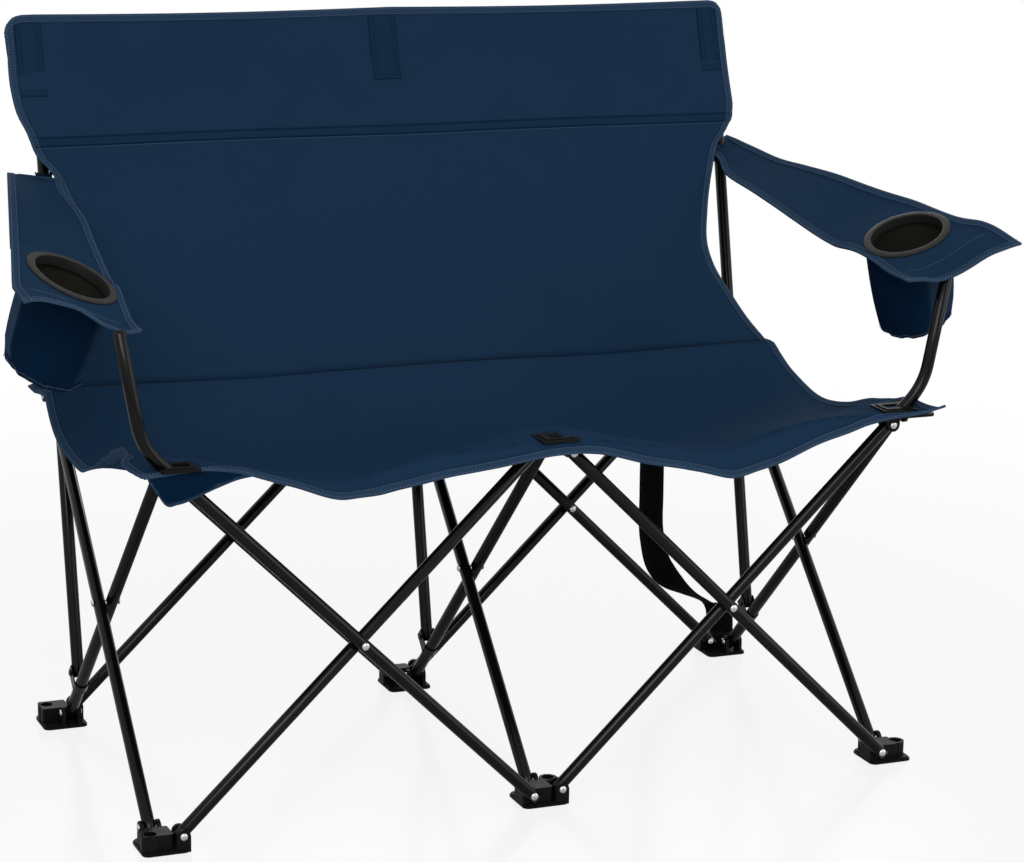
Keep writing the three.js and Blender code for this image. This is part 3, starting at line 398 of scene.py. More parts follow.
# Where the heads of a rivet sit along its axis: one bar, a bar in a fork, two bars that cross
SINGLE = (-8.0, 13.0)
FORK = (-13.0, 13.0)
CROSS = (-8.0, 25.0)
ARM_STRAIGHT = 40.0
ARM_BEND = 88.0
ARM_BEND_STEPS = 14
ARM_UPRIGHT = math.radians(79.5)
ARM_TOP = 651.0
BAR_OVERRUN = 8.0


def arm_run(foot, hub, top_z):
    """The line of an armrest tube past its hub: straight on, a bend, and up to its top."""
    along = unit(hub - foot)
    out = unit(np.array([along[0], 0, 0]))
    start = math.asin(along[2])
    base = hub + along * ARM_STRAIGHT
    line = []
    for i in range(ARM_BEND_STEPS + 1):
        a = start + (ARM_UPRIGHT - start) * i / ARM_BEND_STEPS
        line.append(base + ARM_BEND * ((math.sin(a) - math.sin(start)) * out
                                       + (math.cos(start) - math.cos(a)) * Z))
    direction = math.cos(ARM_UPRIGHT) * out + math.sin(ARM_UPRIGHT) * Z
    line.append(line[-1] + direction * (top_z - line[-1][2]) / direction[2])
    return line


def add_bar(name, foot, hub, axis, grip, arm=None, cross=None):
    """A bar with its end rivets; arm is the height of an armrest tube's top."""
    foot, hub = np.asarray(foot, float), np.asarray(hub, float)
    along = unit(hub - foot)
    line = [foot - along * BAR_OVERRUN, foot + along * 10.0]
    line += arm_run(foot, hub, arm) if arm else [hub + along * BAR_OVERRUN]
    parts = Parts()
    parts.add(*bar_mesh(line, axis))
    for at in (foot, hub):
        parts.add(*rivet_mesh(at, axis, *grip), material=1)
    piece = parts.make(name + "_skin", name, "black_paint", [PAINT, STEEL])
    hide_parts(name)
    if cross:
        pin = Parts()
        pin.add(*rivet_mesh((foot + hub) / 2, axis, *CROSS))
        head = pin.make(cross + "_heads", name, "rivet_steel", [STEEL])
        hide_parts(cross)


def bay_bar(name, left, layer, falls, arm=None):
    """A bar across a bay; the one that falls to the right carries the rivet of the two."""
    ends = (left + BAY - INSET, left + INSET) if falls else (left + INSET, left + BAY - INSET)
    foot, hub = ((x, LAYER[layer], z) for x, z in zip(ends, (FOOT_Z, HUB_Z)))
    cross = "_".join(name.split("_")[:2]) + "_cross_rivet" if falls else None
    add_bar(name, foot, hub, Y, SINGLE if falls else FORK, arm, cross)


bay_bar("front_left_arm_tube", -BAY, "ff", True, ARM_TOP)
bay_bar("front_left_cross_tube", -BAY, "fr", False)
bay_bar("front_right_cross_tube", 0, "ff", True)
bay_bar("front_right_arm_tube", 0, "fr", False, ARM_TOP)
for bar_side, bar_left in (("left", -BAY), ("right", 0)):
    bay_bar(f"rear_{bar_side}_falling_tube", bar_left, "rf", True)
    bay_bar(f"rear_{bar_side}_rising_tube", bar_left, "rr", False)

LEG_RISE = HUB_Z - FOOT_Z
LEG_RUN = REAR_Y - FRONT_Y
LEG = math.hypot(LEG_RISE, LEG_RUN)
CLIP_Y = REAR_Y - CLIP_S * LEG_RUN / LEG + CLIP_E * LEG_RISE / LEG
CLIP_Z = FOOT_Z + CLIP_S * LEG_RISE / LEG + CLIP_E * LEG_RUN / LEG
LEAN = (POST_TOP[0] - CLIP_Y) / (POST_TOP[1] - CLIP_Z)


def post_y(z):
    return CLIP_Y + (z - CLIP_Z) * LEAN


for column, cx in COLUMN.items():
    add_bar(f"{column}_front_leg", (cx - SIDE, FRONT_Y, FOOT_Z), (cx - SIDE, REAR_Y, HUB_Z), X, FORK,
            cross=f"{column}_legs_cross_rivet")
    add_bar(f"{column}_rear_leg", (cx + SIDE, REAR_Y, FOOT_Z), (cx + SIDE, FRONT_Y, HUB_Z), X, FORK)
    foot = np.array([cx + SIDE, CLIP_Y, CLIP_Z])
    top = np.array([cx + SIDE, *POST_TOP])
    along = unit(top - foot)
    parts = Parts()
    parts.add(*bar_mesh([foot - along * 6.0, foot + along * 10.0, top], X))
    post = parts.make(f"{column}_back_post_skin", f"{column}_post", "black_paint", [PAINT])
    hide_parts(f"{column}_back_post")


# Cloth

def smooth(places, values, t):
    """A curve through the values that doesn't overshoot much."""
    x, y = np.asarray(places, float), np.asarray(values, float)
    slope = np.gradient(y, x)
    d = np.diff(y) / np.diff(x)
    for i in range(1, len(y) - 1):
        if d[i - 1] * d[i] <= 0:
            slope[i] = 0.0
    t = np.clip(t, x[0], x[-1])
    k = np.clip(np.searchsorted(x, t) - 1, 0, len(x) - 2)
    h = x[k + 1] - x[k]
    s = (t - x[k]) / h
    return ((2 * s**3 - 3 * s**2 + 1) * y[k] + (s**3 - 2 * s**2 + s) * h * slope[k]
            + (3 * s**2 - 2 * s**3) * y[k + 1] + (s**3 - s**2) * h * slope[k + 1])


def ease(value, low, high):
    """0 up to low, 1 from high on, soft between."""
    s = np.clip((np.asarray(value, float) - low) / (high - low), 0, 1)
    return s * s * (3 - 2 * s)


HEM_STEPS = [0, 0.8, 2.2, 5, 7.6, 9.2, 10.2, 11.2, 14]
STITCHED = (2.2, 9.2)


def stations(low, high, step, hem_low=True, hem_high=True):
    """Places along a sheet, close together where it is hemmed."""
    a = low + HEM_STEPS[-1] if hem_low else low
    b = high - HEM_STEPS[-1] if hem_high else high
    middle = list(np.linspace(a, b, max(int(round((b - a) / step)), 2) + 1))
    first = [low + s for s in HEM_STEPS[:-1]] if hem_low else []
    last = [high - s for s in HEM_STEPS[:-1]][::-1] if hem_high else []
    return np.array(first + middle + last)


def hem_profile(distance):
    """Paleness, darkness (painted shade in the groove where the hem's fold ends) and extra thickness of the
    cloth by the distance from its hemmed edge.
    """
    d = np.asarray(distance, float)
    fold = 1.0 / (1.0 + np.exp(np.clip((d - 9.8) * 2.2, -60, 60)))
    # painted shade in the groove where the hem's fold ends
    groove = np.exp(-((d - 10.3) / 0.9) ** 2)
    pale = fold * (0.5 + 0.5 * np.exp(-(d / 1.7) ** 2) + 0.3 * np.exp(-((d - 9.2) / 0.9) ** 2))
    return pale, groove * 0.55, fold * 1.1 - groove * 0.5


def surface_normal(grid):
    normal = np.cross(np.gradient(grid, axis=1), np.gradient(grid, axis=0))
    return normal / (np.linalg.norm(normal, axis=2)[..., None] + 1e-12)


def lengths(grid, axis):
    """Lengths along the cloth in metres, from its first row (axis 0) or column (axis 1)."""
    steps = np.linalg.norm(np.diff(grid, axis=axis), axis=2)
    return np.insert(np.cumsum(steps, axis), 0, 0.0, axis) / 1000.0


def cloth_uv(grid):
    u = lengths(grid, 1)
    return np.stack([u - u[:, grid.shape[1] // 2][:, None], lengths(grid, 0)], 2)


def sheet_piece(name, grid, body, material, edge, thick=1.6, uv=None, normal=None,
                hole=None, marks=None, crisp=False):
    """grid is rows x columns x 3 in mm; edge is the distance to the nearest hemmed edge."""
    rows, cols = grid.shape[:2]
    normal = surface_normal(grid) if normal is None else normal
    uv = cloth_uv(grid) if uv is None else uv
    pale, dark, level = hem_profile(edge)
    # marks are further darkening, laid over the painted shade of the hem's groove
    if marks is not None:
        dark = np.maximum(dark, marks)
    half = (thick + level)[..., None] / 2
    count = rows * cols
    i, j = np.meshgrid(np.arange(rows - 1), np.arange(cols - 1), indexing="ij")
    a = (i * cols + j).ravel()
    quads = np.stack([a, a + 1, a + cols + 1, a + cols], 1)
    mid = grid.copy()
    if hole is not None:
        centre, axis, radius = hole
        away = mid - centre
        flat = away - (away @ axis)[..., None] * axis
        r = np.linalg.norm(flat, axis=2)
        inside = (r < radius).ravel()
        quads = quads[~inside[quads].all(1)]
        edge_in = np.zeros(count, bool)
        edge_in[quads.ravel()] = True
        snap = (edge_in & inside).reshape(rows, cols)
        push = flat / (r[..., None] + 1e-9) * (radius - r)[..., None]
        mid[snap] += push[snap]
    sides = dict.fromkeys((q[k], q[(k + 1) % 4]) for q in quads.tolist() for k in range(4))
    walls = [(q, p, p + count, q + count) for p, q in sides if (q, p) not in sides]
    faces = np.concatenate([quads, quads[:, ::-1] + count, walls])
    used, faces = np.unique(faces.ravel(), return_inverse=True)
    verts = np.concatenate([(mid + normal * half).reshape(-1, 3), (mid - normal * half).reshape(-1, 3)])
    doubled = [np.concatenate([v.reshape(count, -1)] * 2)[used] for v in (uv, pale, dark)]
    obj = make(name, mm(verts[used]), faces.reshape(-1, 4).tolist(), body, [material],
               doubled[0], doubled[1][:, 0], doubled[2][:, 0], crisp=crisp)
    cells = np.cross(grid[1:, 1:] - grid[:-1, :-1], grid[1:, :-1] - grid[:-1, 1:])
    area = np.linalg.norm(cells, axis=2).sum() / 2 / 1e6
    width, length = lengths(grid, 1).max(), lengths(grid, 0).max()
    return obj, normal, (width, length, min(area, width * length))


def seam_nodes():
    """Stitches along a curve: one short stitch for each pitch of its length."""
    group = bpy.data.node_groups.new("stitch_run", "GeometryNodeTree")
    face = group.interface
    face.new_socket("Geometry", in_out="INPUT", socket_type="NodeSocketGeometry")
    for label, value in (("Pitch", 0.0042), ("Stitch Length", 0.0030), ("Thread Radius", 0.0005)):
        face.new_socket(label, in_out="INPUT", socket_type="NodeSocketFloat").default_value = value
    face.new_socket("Material", in_out="INPUT", socket_type="NodeSocketMaterial")
    face.new_socket("Geometry", in_out="OUTPUT", socket_type="NodeSocketGeometry")
    given = group.nodes.new("NodeGroupInput")
    run, pitch, length, radius, finish = (Val(group, given.outputs[k]) for k in range(5))
    points = run.node("GeometryNodeCurveToPoints", {"Curve": run, "Length": pitch}, "Points", mode="LENGTH")
    turn = Val(group, points.socket.node.outputs["Rotation"])
    ball = run.node("GeometryNodeMeshUVSphere", {"Segments": 6, "Rings": 4, "Radius": 1.0}, "Mesh")
    size = run.node("ShaderNodeCombineXYZ", {0: radius, 1: radius, 2: length * 0.5})
    placed = run.node("GeometryNodeInstanceOnPoints",
                      {"Points": points, "Rotation": turn, "Instance": ball, "Scale": size})
    real = run.node("GeometryNodeRealizeInstances", {0: placed})
    sewn = run.node("GeometryNodeSetMaterial", {"Geometry": real, "Material": finish})
    group.links.new(sewn.socket, group.nodes.new("NodeGroupOutput").inputs[0])
    return group


STITCHES = seam_nodes()


def stitch_piece(name, lines, body):
    """lines are arrays of points in mm, already on the cloth's face."""
    curve = bpy.data.curves.new(name + "_path", "CURVE")
    curve.dimensions = "3D"
    for line in lines:
        spline = curve.splines.new("POLY")
        points = mm(line)
        spline.points.add(len(points) - 1)
        spline.points.foreach_set("co", np.concatenate([points, np.ones((len(points), 1))], 1).ravel())
    path = add_object(name + "_path", curve)
    modifier = path.modifiers.new("stitches", "NODES")
    modifier.node_group = STITCHES
    for item in STITCHES.interface.items_tree:
        if item.in_out == "INPUT" and item.name == "Material":
            modifier[item.identifier] = THREAD
    graph = bpy.context.evaluated_depsgraph_get()
    mesh = bpy.data.meshes.new_from_object(path.evaluated_get(graph))
    mesh.name = name
    path.modifiers.clear()
    bpy.data.objects.remove(path)
    return attach(name, mesh, body)


def nearest(values, target):
    return int(np.argmin(np.abs(np.asarray(values) - target)))


def ripple(x, y, seed, size=1.0):
    """Soft waves in the cloth, always the same for a seed."""
    out = 0.0
    random = np.random.default_rng(seed)
    for _ in range(7):
        length = random.uniform(90, 320)
        turn = random.uniform(0, 2 * math.pi)
        phase = random.uniform(0, 2 * math.pi)
        way = x * math.cos(turn) + y * math.sin(turn)
        out = out + np.sin(way * 2 * math.pi / length + phase) * length / 320
    return out * size / 7


# Seat: one cloth from the front hem over a crease into the sling, cut in four fields

SEAT_X = [-520, -500, -457, -419, -345, -266, -205, -155, -112, -63, 0, 45, 130, 200, 255, 300, 382, 450,
          500, 520]
HEM_Y = [-300, -299, -291, -284, -274, -268, -270, -274, -279, -288, -298, -291, -277, -271, -268, -270, -278,
         -290, -300, -312]
HEM_Z = [479, 480.5, 481.5, 475, 450, 425, 431, 441, 447, 456, 466, 463, 440, 424, 410, 420, 451, 474,
         484, 490]
CREASE_Y = [-296, -296, -288, -278, -255, -240, -246, -256, -268, -284, -296, -284, -258, -245, -240,
            -246, -264, -284, -296, -304]
CREASE_Z = [481, 481, 481, 477, 458, 441, 455, 468, 474, 480, 481, 477, 461, 447, 443, 456, 477, 481,
            482.5, 486]
SLING = [0.16, 0.22, 0.3, 0.42, 0.55, 0.64, 0.71, 0.76, 0.79, 0.822, 0.885, 0.945, 1]
HUB_SAG = [0, 0.26, 0.58, 0.86, 0.97, 0.86, 0.64, 0.38, 0.13, -0.14, -0.08, 0, 0]
BAY_SAG = [0.74, 0.82, 0.91, 1, 1.0, 0.88, 0.64, 0.36, 0.1, -0.13, -0.08, 0.03, 0.1]
HUB_DIP = 55
BAY_DIP = 64
HUB_CLEAR = 34.0
HALF_BAY = BAY / 2
SEAT_HALF = 520.0
SEAT_REAR = DEPTH / 2 - 4

# How far the side edges stand out and rise, by their place along the depth
LEFT_EDGE_Y = [-306, -290, -252, -221, -199, -180, -160, -140, -106, -77, -50, -30, -7, 20, 60, 100, 250]
LEFT_OUT = [7, 14, 18, 17, 8, 1, 1, 2, 3, 4, 6, 9, 12, 14, 18, 20, 17]
LEFT_RISE = [0, -1, -2, -2, 4, 18, 27, 28, 21, 14, 3, -4, -10, -9, -8, -7, -8]
RIGHT_EDGE_Y = [-312, -290, -250, -200, -160, -118, -60, 10, 101, 138, 150, 170, 250]
RIGHT_OUT = [12, 12, 9, 8, 9, 10, 10, 10, 9, -2, -6, -4, 0]
RIGHT_RISE = [4, 5, 3, 6, 14, 19, 12, 5, -2, 0, 0, 0, 0]


def from_hubs(x):
    """Distance to the nearest hub, less than 0 beyond the outer ones."""
    return HALF_BAY - np.abs(np.abs(x) - HALF_BAY)


def bay_share(x):
    """0 over the hubs and beyond the outer ones, 1 in the middle of a bay."""
    away = max(from_hubs(x) - HUB_CLEAR, 0.0) / (HALF_BAY - HUB_CLEAR)
    return 1 - (1 - away) ** 1.4


def run_of(y, z):
    return np.insert(np.cumsum(np.hypot(np.diff(y), np.diff(z))), 0, 0.0)


def seat_column(x):
    """The seat's profile at one x: points from the front hem to the rear hubs."""
    s = bay_share(x)
    front = -306 + 44 * s
    ys = [smooth(SEAT_X, HEM_Y, x), smooth(SEAT_X, CREASE_Y, x)]
    zs = [smooth(SEAT_X, HEM_Z, x), smooth(SEAT_X, CREASE_Z, x)]
    for share, hub, bay in zip(SLING, HUB_SAG, BAY_SAG):
        ys.append(front + (SEAT_REAR - front) * share)
        zs.append(SEAT_LEVEL - HUB_DIP * hub * (1 - s) - BAY_DIP * bay * s)
    t = run_of(ys, zs)
    fine = np.linspace(0, t[-1], 900)
    y, z = smooth(t, ys, fine), smooth(t, zs, fine)
    run = run_of(y, z)
    start = HEM_STEPS[-1]
    rows = np.array(HEM_STEPS[:-1] + list(start + (run[-1] - start) * np.linspace(0, 1, 74) ** 1.12))
    return np.interp(rows, run, y), np.interp(rows, run, z), rows


def seat_grid():
    half = [stations(-SEAT_HALF, -HALF_BAY, 7.5, True, False), np.linspace(-HALF_BAY, 0, 34),
            np.linspace(0, HALF_BAY, 34), stations(HALF_BAY, SEAT_HALF, 7.5, False, True)]
    xs = np.unique(np.round(np.concatenate(half), 4))
    columns = [seat_column(x) for x in xs]
    y = np.stack([c[0] for c in columns], 1)
    z = np.stack([c[1] for c in columns], 1)
    run = np.stack([c[2] for c in columns], 1)
    x = xs[None, :] + 0 * y
    inner = ease(run, 20, 110) * ease(SEAT_REAR - y, 90, 170)
    z = z + ripple(x, y, 3, 2.0) * inner * ease(500 - np.abs(x), -10, 60)
    # drawn folds behind the crease, strongest on the right of the centre hub
    behind = run - np.hypot(smooth(SEAT_X, HEM_Y, xs) - smooth(SEAT_X, CREASE_Y, xs),
                            smooth(SEAT_X, HEM_Z, xs) - smooth(SEAT_X, CREASE_Z, xs))[None, :]
    gate = 1.3 * ease(x, 25, 70) * ease(240 - x, 0, 60) + 0.5 * ease(-x, 40, 90) * ease(230 + x, 0, 60)
    fade = np.exp(-np.clip(behind, 0, None) / 34) * ease(behind, -4, 4)
    z = z + gate * np.sin(behind / 4.6 + x / 60) * fade
    lip = np.clip(1 - run / 40, 0, 1) * ease(from_hubs(x), 30, 90)
    y = y + 1.6 * np.sin(xs / 11.0 + 1.2 * np.sin(xs / 37.0))[None, :] * lip
    wide = ease(np.abs(x), 430, 515)
    tight = np.clip((np.abs(x) - 494) / 26, 0, 1) ** 1.3
    left = x < 0
    out = np.where(left, smooth(LEFT_EDGE_Y, LEFT_OUT, y), smooth(RIGHT_EDGE_Y, RIGHT_OUT, y))
    rise = np.where(left, smooth(LEFT_EDGE_Y, LEFT_RISE, y), smooth(RIGHT_EDGE_Y, RIGHT_RISE, y))
    curled = left * ease(y, -190, -150) * ease(-y, 30, 70)
    rise = rise + curled * (1.6 * np.sin(y / 3.4) + 1.2 * np.sin(y / 7.1))
    z = z + rise * tight
    x = x + np.sign(x) * out * wide
    # painted shade: a dark line along the crease where the front lip folds down
    crease_shade = np.exp(-(behind / 1.8) ** 2) * ease(from_hubs(xs), 20, 70)[None, :]
    return xs, np.stack([x, y, z], 2), run, crease_shade


SEAT_XS, SEAT, SEAT_RUN, SEAT_CREASE_SHADE = seat_grid()
SEAT_NORMAL = surface_normal(SEAT)
SEAT_UV = cloth_uv(SEAT)


def seat_panel(field, low, high):
    name, body = f"{field}_seat_panel", f"{field}_seat"
    pick = (SEAT_XS >= low - 0.01) & (SEAT_XS <= high + 0.01)
    grid, normal, run, xs = SEAT[:, pick], SEAT_NORMAL[:, pick], SEAT_RUN[:, pick], SEAT_XS[pick]
    side = np.minimum(xs + SEAT_HALF, SEAT_HALF - xs)[None, :]
    edge = np.minimum(np.minimum(run, run[-1] - run), side)
    # the marks are painted shade along the crease
    piece, normal, flat = sheet_piece(name + "_cloth", grid, body, NAVY, edge,
                                      uv=SEAT_UV[:, pick], normal=normal,
                                      marks=0.5 * SEAT_CREASE_SHADE[:, pick], crisp=True)
    face = grid + normal * 1.55
    lines = [face[HEM_STEPS.index(depth)] for depth in STITCHED]
    for depth in STITCHED:
        if low < -BAY:
            lines.append(face[:, nearest(xs, low + depth)])
        if high > BAY:
            lines.append(face[:, nearest(xs, high - depth)])
    seams = stitch_piece(name + "_stitches", lines, body)
    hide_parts(name)
    extra = [seams]
    if low < -BAY:
        extra.append(corner_flap(body))
    for item in [piece] + extra:
        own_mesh(item)


def corner_flap(body):
    """The loose tongue of cloth that hangs under the hem at the left front hub."""
    xs = np.linspace(-524, -392, 44)
    low = smooth([-524, -514, -506, -490, -474, -440, -411, -392],
                 [474, 458, 446, 444.5, 447, 457, 464, 466], xs)
    top_z = smooth(SEAT_X, HEM_Z, xs) - 0.4
    top_y = smooth(SEAT_X, HEM_Y, xs) + 3.2
    shares = np.array([0, 0.02, 0.06, 0.14, 0.3, 0.5, 0.7, 0.86, 0.94, 0.98, 1])[:, None]
    z = low[None, :] + (top_z - low)[None, :] * shares
    deep = (top_z - low)[None, :] * (1 - shares)
    y = top_y[None, :] - 5.0 * np.sin(np.clip(deep / 30, 0, 1) * 1.7)
    y = y - 1.5 * np.sin(xs / 17.0)[None, :] * (1 - shares)
    grid = np.stack([xs[None, :] + 0 * z, y, z], 2)
    edge = (z - low[None, :]) * 3.0
    # the flap is in the darker copy of the cloth, as painted shade under the hem
    return sheet_piece("outer_left_seat_flap", grid, body, NAVY_PAINTED_SHADE, edge, 1.2)[0]


for field_name, low_x, high_x in (("outer_left", -SEAT_HALF, -HALF_BAY), ("inner_left", -HALF_BAY, 0.0),
                                  ("inner_right", 0.0, HALF_BAY), ("outer_right", HALF_BAY, SEAT_HALF)):
    seat_panel(field_name, low_x, high_x)


def seat_height(x, y):
    """The seat's surface under a point of the back's lower edge."""
    column = SEAT[:, nearest(SEAT[60, :, 0], x)]
    return float(np.interp(y, column[9:, 1], column[9:, 2]))


# Back

BACK_SHARES = [0, 0.05, 0.14, 0.21, 0.27, 0.37, 0.5, 0.57, 0.595, 0.63, 0.67, 0.72, 0.78, 0.9, 1]
BACK_FORWARD = [1, 0.93, 0.79, 0.68, 0.58, 0.44, 0.27, 0.2, 0.18, 0.15, 0.11, 0.07, 0.03, 0, 0]
LEFT_REACH = [506, 487, 464, 449, 445, 455, 477, 492, 503, 511, 516, 526, 531, 532, 532]
RIGHT_REACH = [506, 487, 464, 449, 445, 455, 477, 492, 503, 515, 523, 524, 523.5, 522, 521]
CREASE_HEIGHT = 492.6
BACK_TOP = 952.0
BACK_HALF = 526.0
SEAM_Z = 793.0
TUCK_Z = 783.0
CORNER = 22.0


def corner_drop(x, z):
    """How much lower the cloth is at a place for its rounded top corners."""
    reach = np.where(x < 0, LEFT_REACH[-1], RIGHT_REACH[-1])
    near = np.clip((np.abs(x) - (reach - CORNER)) / CORNER, 0, 1)
    return CORNER * (1 - np.sqrt(np.clip(1 - near**2, 0, 1))) * np.clip((z - (BACK_TOP - 60)) / 60, 0, 1)


def back_sheet():
    seam_rows = [SEAM_Z + d for d in (-3, -1.5, -0.6, 0, 0.6, 1.5, 3)]
    seam_rows += [TUCK_Z + d for d in (-4, -2.4, -1, 0, 1, 2)]
    zs = stations(CREASE_HEIGHT, BACK_TOP, 7.0, False, True)
    zs = np.array([z for z in zs if min(abs(z - SEAM_Z), abs(z - TUCK_Z)) > 5.5])
    zs = np.sort(np.concatenate([zs, seam_rows]))
    us = stations(-BACK_HALF, BACK_HALF, 8.0) / BACK_HALF
    share = np.clip((zs - CREASE_HEIGHT) / (BACK_TOP - CREASE_HEIGHT), 0, 1)
    left = smooth(BACK_SHARES, LEFT_REACH, share)[:, None]
    right = smooth(BACK_SHARES, RIGHT_REACH, share)[:, None]
    crease_forward = post_y(491.0) - 11 - 148
    y = post_y(zs) - 11 - crease_forward * smooth(BACK_SHARES, BACK_FORWARD, share)
    x = us[None, :] * np.where(us < 0, left, right)
    # the lower left corner runs out to the seat's edge
    spread = 26.0 * ease(-us, 0.86, 1.0)[None, :] * ease(540 - zs, 0, 48)[:, None]
    grid = np.stack([x - spread, y[:, None] + 0 * x, zs[:, None] + 0 * x], -1)
    # between the post pockets the top edge hangs a little, and the cloth bellies backwards
    span = np.abs(np.sin((x - SIDE) * math.pi / BAY))
    high = np.clip((share - 0.62) / 0.38, 0, 1)[:, None]
    grid[..., 2] -= 2.5 * span * high**2
    middle = np.sin(np.clip(share, 0, 1) * math.pi)[:, None]
    grid[..., 1] += 9.0 * span**1.5 * middle * (1 - np.abs(us)[None, :] ** 6)
    grid[..., 1] += ripple(x, grid[..., 2], 11, 3.4) * middle * 0.9
    # rounded top corners
    grid[..., 2] -= corner_drop(x, zs[:, None])
    # the lower edge lies along the seat
    low = np.array([seat_height(v, 148.0) for v in grid[0, :, 0]]) + 2.1
    fade = np.clip(1 - (zs - CREASE_HEIGHT) / 40, 0, 1)[:, None] ** 2
    grid[..., 2] += (low - CREASE_HEIGHT)[None, :] * fade
    # the headband is turned over into a tuck at its lower seam
    step = 2.4 / (1 + np.exp(-(zs - SEAM_Z) * 1.6)) - 2.4 / (1 + np.exp(-(zs - TUCK_Z) * 1.6))
    grid[..., 1] += step[:, None]
    edge_x = np.minimum((us + 1) * left, (1 - us) * right)
    edge = np.minimum(edge_x, lengths(grid[::-1], 0)[::-1] * 1000)
    # painted shade: dark lines in the folds of the seam and the tuck, and the turned-over band between them a
    # little darker
    dark = np.maximum(np.exp(-((zs - SEAM_Z) / 1.6) ** 2), np.exp(-((zs - TUCK_Z) / 1.4) ** 2))
    dark = np.maximum(dark, 0.35 * ((zs < SEAM_Z) & (zs > TUCK_Z)))
    inside = ease(edge_x, 2, 12)
    piece, normal, flat = sheet_piece("back_cloth", grid, "centre_post", NAVY, edge,
                                      marks=dark[:, None] * 0.85 * inside)
    face = grid + normal * 1.5
    rows = [len(zs) - 1 - HEM_STEPS.index(d) for d in STITCHED]
    lines = [face[k] for k in rows]
    for d in STITCHED:
        for sign in (1, -1):
            lines.append(face[:, nearest(us, sign * (1 - d / BACK_HALF))])
    lines.append((grid + normal * 1.0)[nearest(zs, TUCK_Z - 2.4), 6:-6])
    return piece, grid, flat, lines


back, back_grid, back_flat, back_lines = back_sheet()


def back_y(x, z):
    """Depth of the middle of the back's cloth at a place."""
    row = back_grid[nearest(back_grid[:, back_grid.shape[1] // 2, 2], z)]
    return float(np.interp(x, row[:, 0], row[:, 1]))


def pocket_sleeves():
    """The sleeves behind the back that the posts stand in."""
    parts = Parts()
    arc = np.linspace(0, math.pi, 22)
    outline = [(12.5, 19.5, a) for a in arc] + [(11.0, 18.0, a) for a in arc[::-1]]
    for cx in COLUMN.values():
        rings = []
        for z in np.linspace(BACK_TOP - 92, BACK_TOP - 4, 22):
            xs = [cx + SIDE + half * math.cos(a) for half, _, a in outline]
            ys = [post_y(z) - 8 + deep * math.sin(a) ** 0.75 for _, deep, a in outline]
            rings.append([(x, y, z - float(corner_drop(x, z))) for x, y in zip(xs, ys)])
        parts.add(*loft(rings))
    return parts.make("post_pockets", "centre_post", "navy_cloth", [NAVY])


def pocket_patch(name, left, right, low):
    """A doubled patch on the front of the back over a post's end, with its sewn outline drawn as painted
    shade.
    """
    top = BACK_TOP - 11.5
    inset = [0, 0.7, 1.6, 5.6, 6.4, 7.2]
    height = top - low
    zs = low + np.array(inset + list(np.linspace(12, height - 3, 12)) + [height])
    width = right - left
    at = np.array(inset + list(np.linspace(11, width - 11, 5)) + [width - v for v in inset[::-1]])
    grid = np.zeros((len(zs), len(at), 3))
    for i, z in enumerate(zs):
        for j, a in enumerate(at):
            x = left + a - 3.0 * (z - low) / height
            grid[i, j] = (x, back_y(x, z) - 1.25, z - corner_drop(x, z))
    inner = np.minimum(np.minimum(at, width - at)[None, :], (zs - low)[:, None])
    # painted shade along the patch's edge and its stitch line; the whole patch is a little darker as well
    mark = 0.30 + 0.6 * np.exp(-((inner - 0.4) / 0.8) ** 2) + 0.45 * np.exp(-((inner - 6.4) / 0.7) ** 2)
    unhemmed = np.full(grid.shape[:2], 99.0)
    return sheet_piece(name, grid, "centre_post", NAVY, unhemmed, 0.7, marks=mark)[0]


back_pieces = [pocket_sleeves()]
back_pieces += [pocket_patch(f"{place}_pocket_patch", *size) for place, size in (
    ("left", (-518.0, -482.0, 846.0)), ("centre", (-21.0, 19.0, 855.0)), ("right", (483.0, 512.0, 853.0)))]
back_pieces.append(stitch_piece("back_stitches", back_lines, "centre_post"))
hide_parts("back_sling")
for item in [back] + back_pieces:
    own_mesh(item)


# Armrests: a band from the back post to the armrest tube, with a cup holder

ARM_T = [0, 0.03, 0.07, 0.11, 0.16, 0.2, 0.3, 0.4, 0.5, 0.6, 0.7, 0.8, 0.9, 1]
INNER_Y = {"left": [284, 279, 271, 259, 236, 213, 154, 94, 35, -25, -84, -143, -203, -262],
           "right": [302, 293, 284, 266, 237, 213, 154, 94, 35, -25, -84, -143, -203, -262]}
INNER_X = {"left": [477, 478, 478, 477, 475, 475, 478, 485, 491, 497, 503, 511, 516, 521],
           "right": [474, 488, 490, 484, 476, 473, 475, 480, 484, 489, 493, 498, 500, 496]}
INNER_DROP = {"left": [0, -4, -6, -8, -8, -8, -7, -9, -12, -14, -12, -10, -8, 0],
              "right": [0, -4, -6, -8, -8, -8, -7, -9, -12, -14, -12, -10, -5, 4]}
OUTER_RISE = {"left": [-12, -8, -5, -3, -2, 0, 0, 0, 0, 0, 0, 0, 0, -2],
              "right": [0, 0, -1, -2, -4, -5, -1, 3, 4, 5, 7, 11, 12, 2]}
FRONT_A = [0, 0.17, 0.25, 0.35, 0.45, 0.55, 0.65, 0.77, 0.9, 1]
FRONT_RISE = {"left": [0, -7, -5, -2, 4, 9, 10, 10, 8, 2], "right": [0, -7, -12, -13, -11, -7, -2, 1, 1, 0]}
CUP = {"left": ((-572.5, -144.0, 691.0), (0.354, -0.28, 0.892)),
       "right": ((559.0, -144.0, 688.6), (-0.37, -0.163, 0.914))}


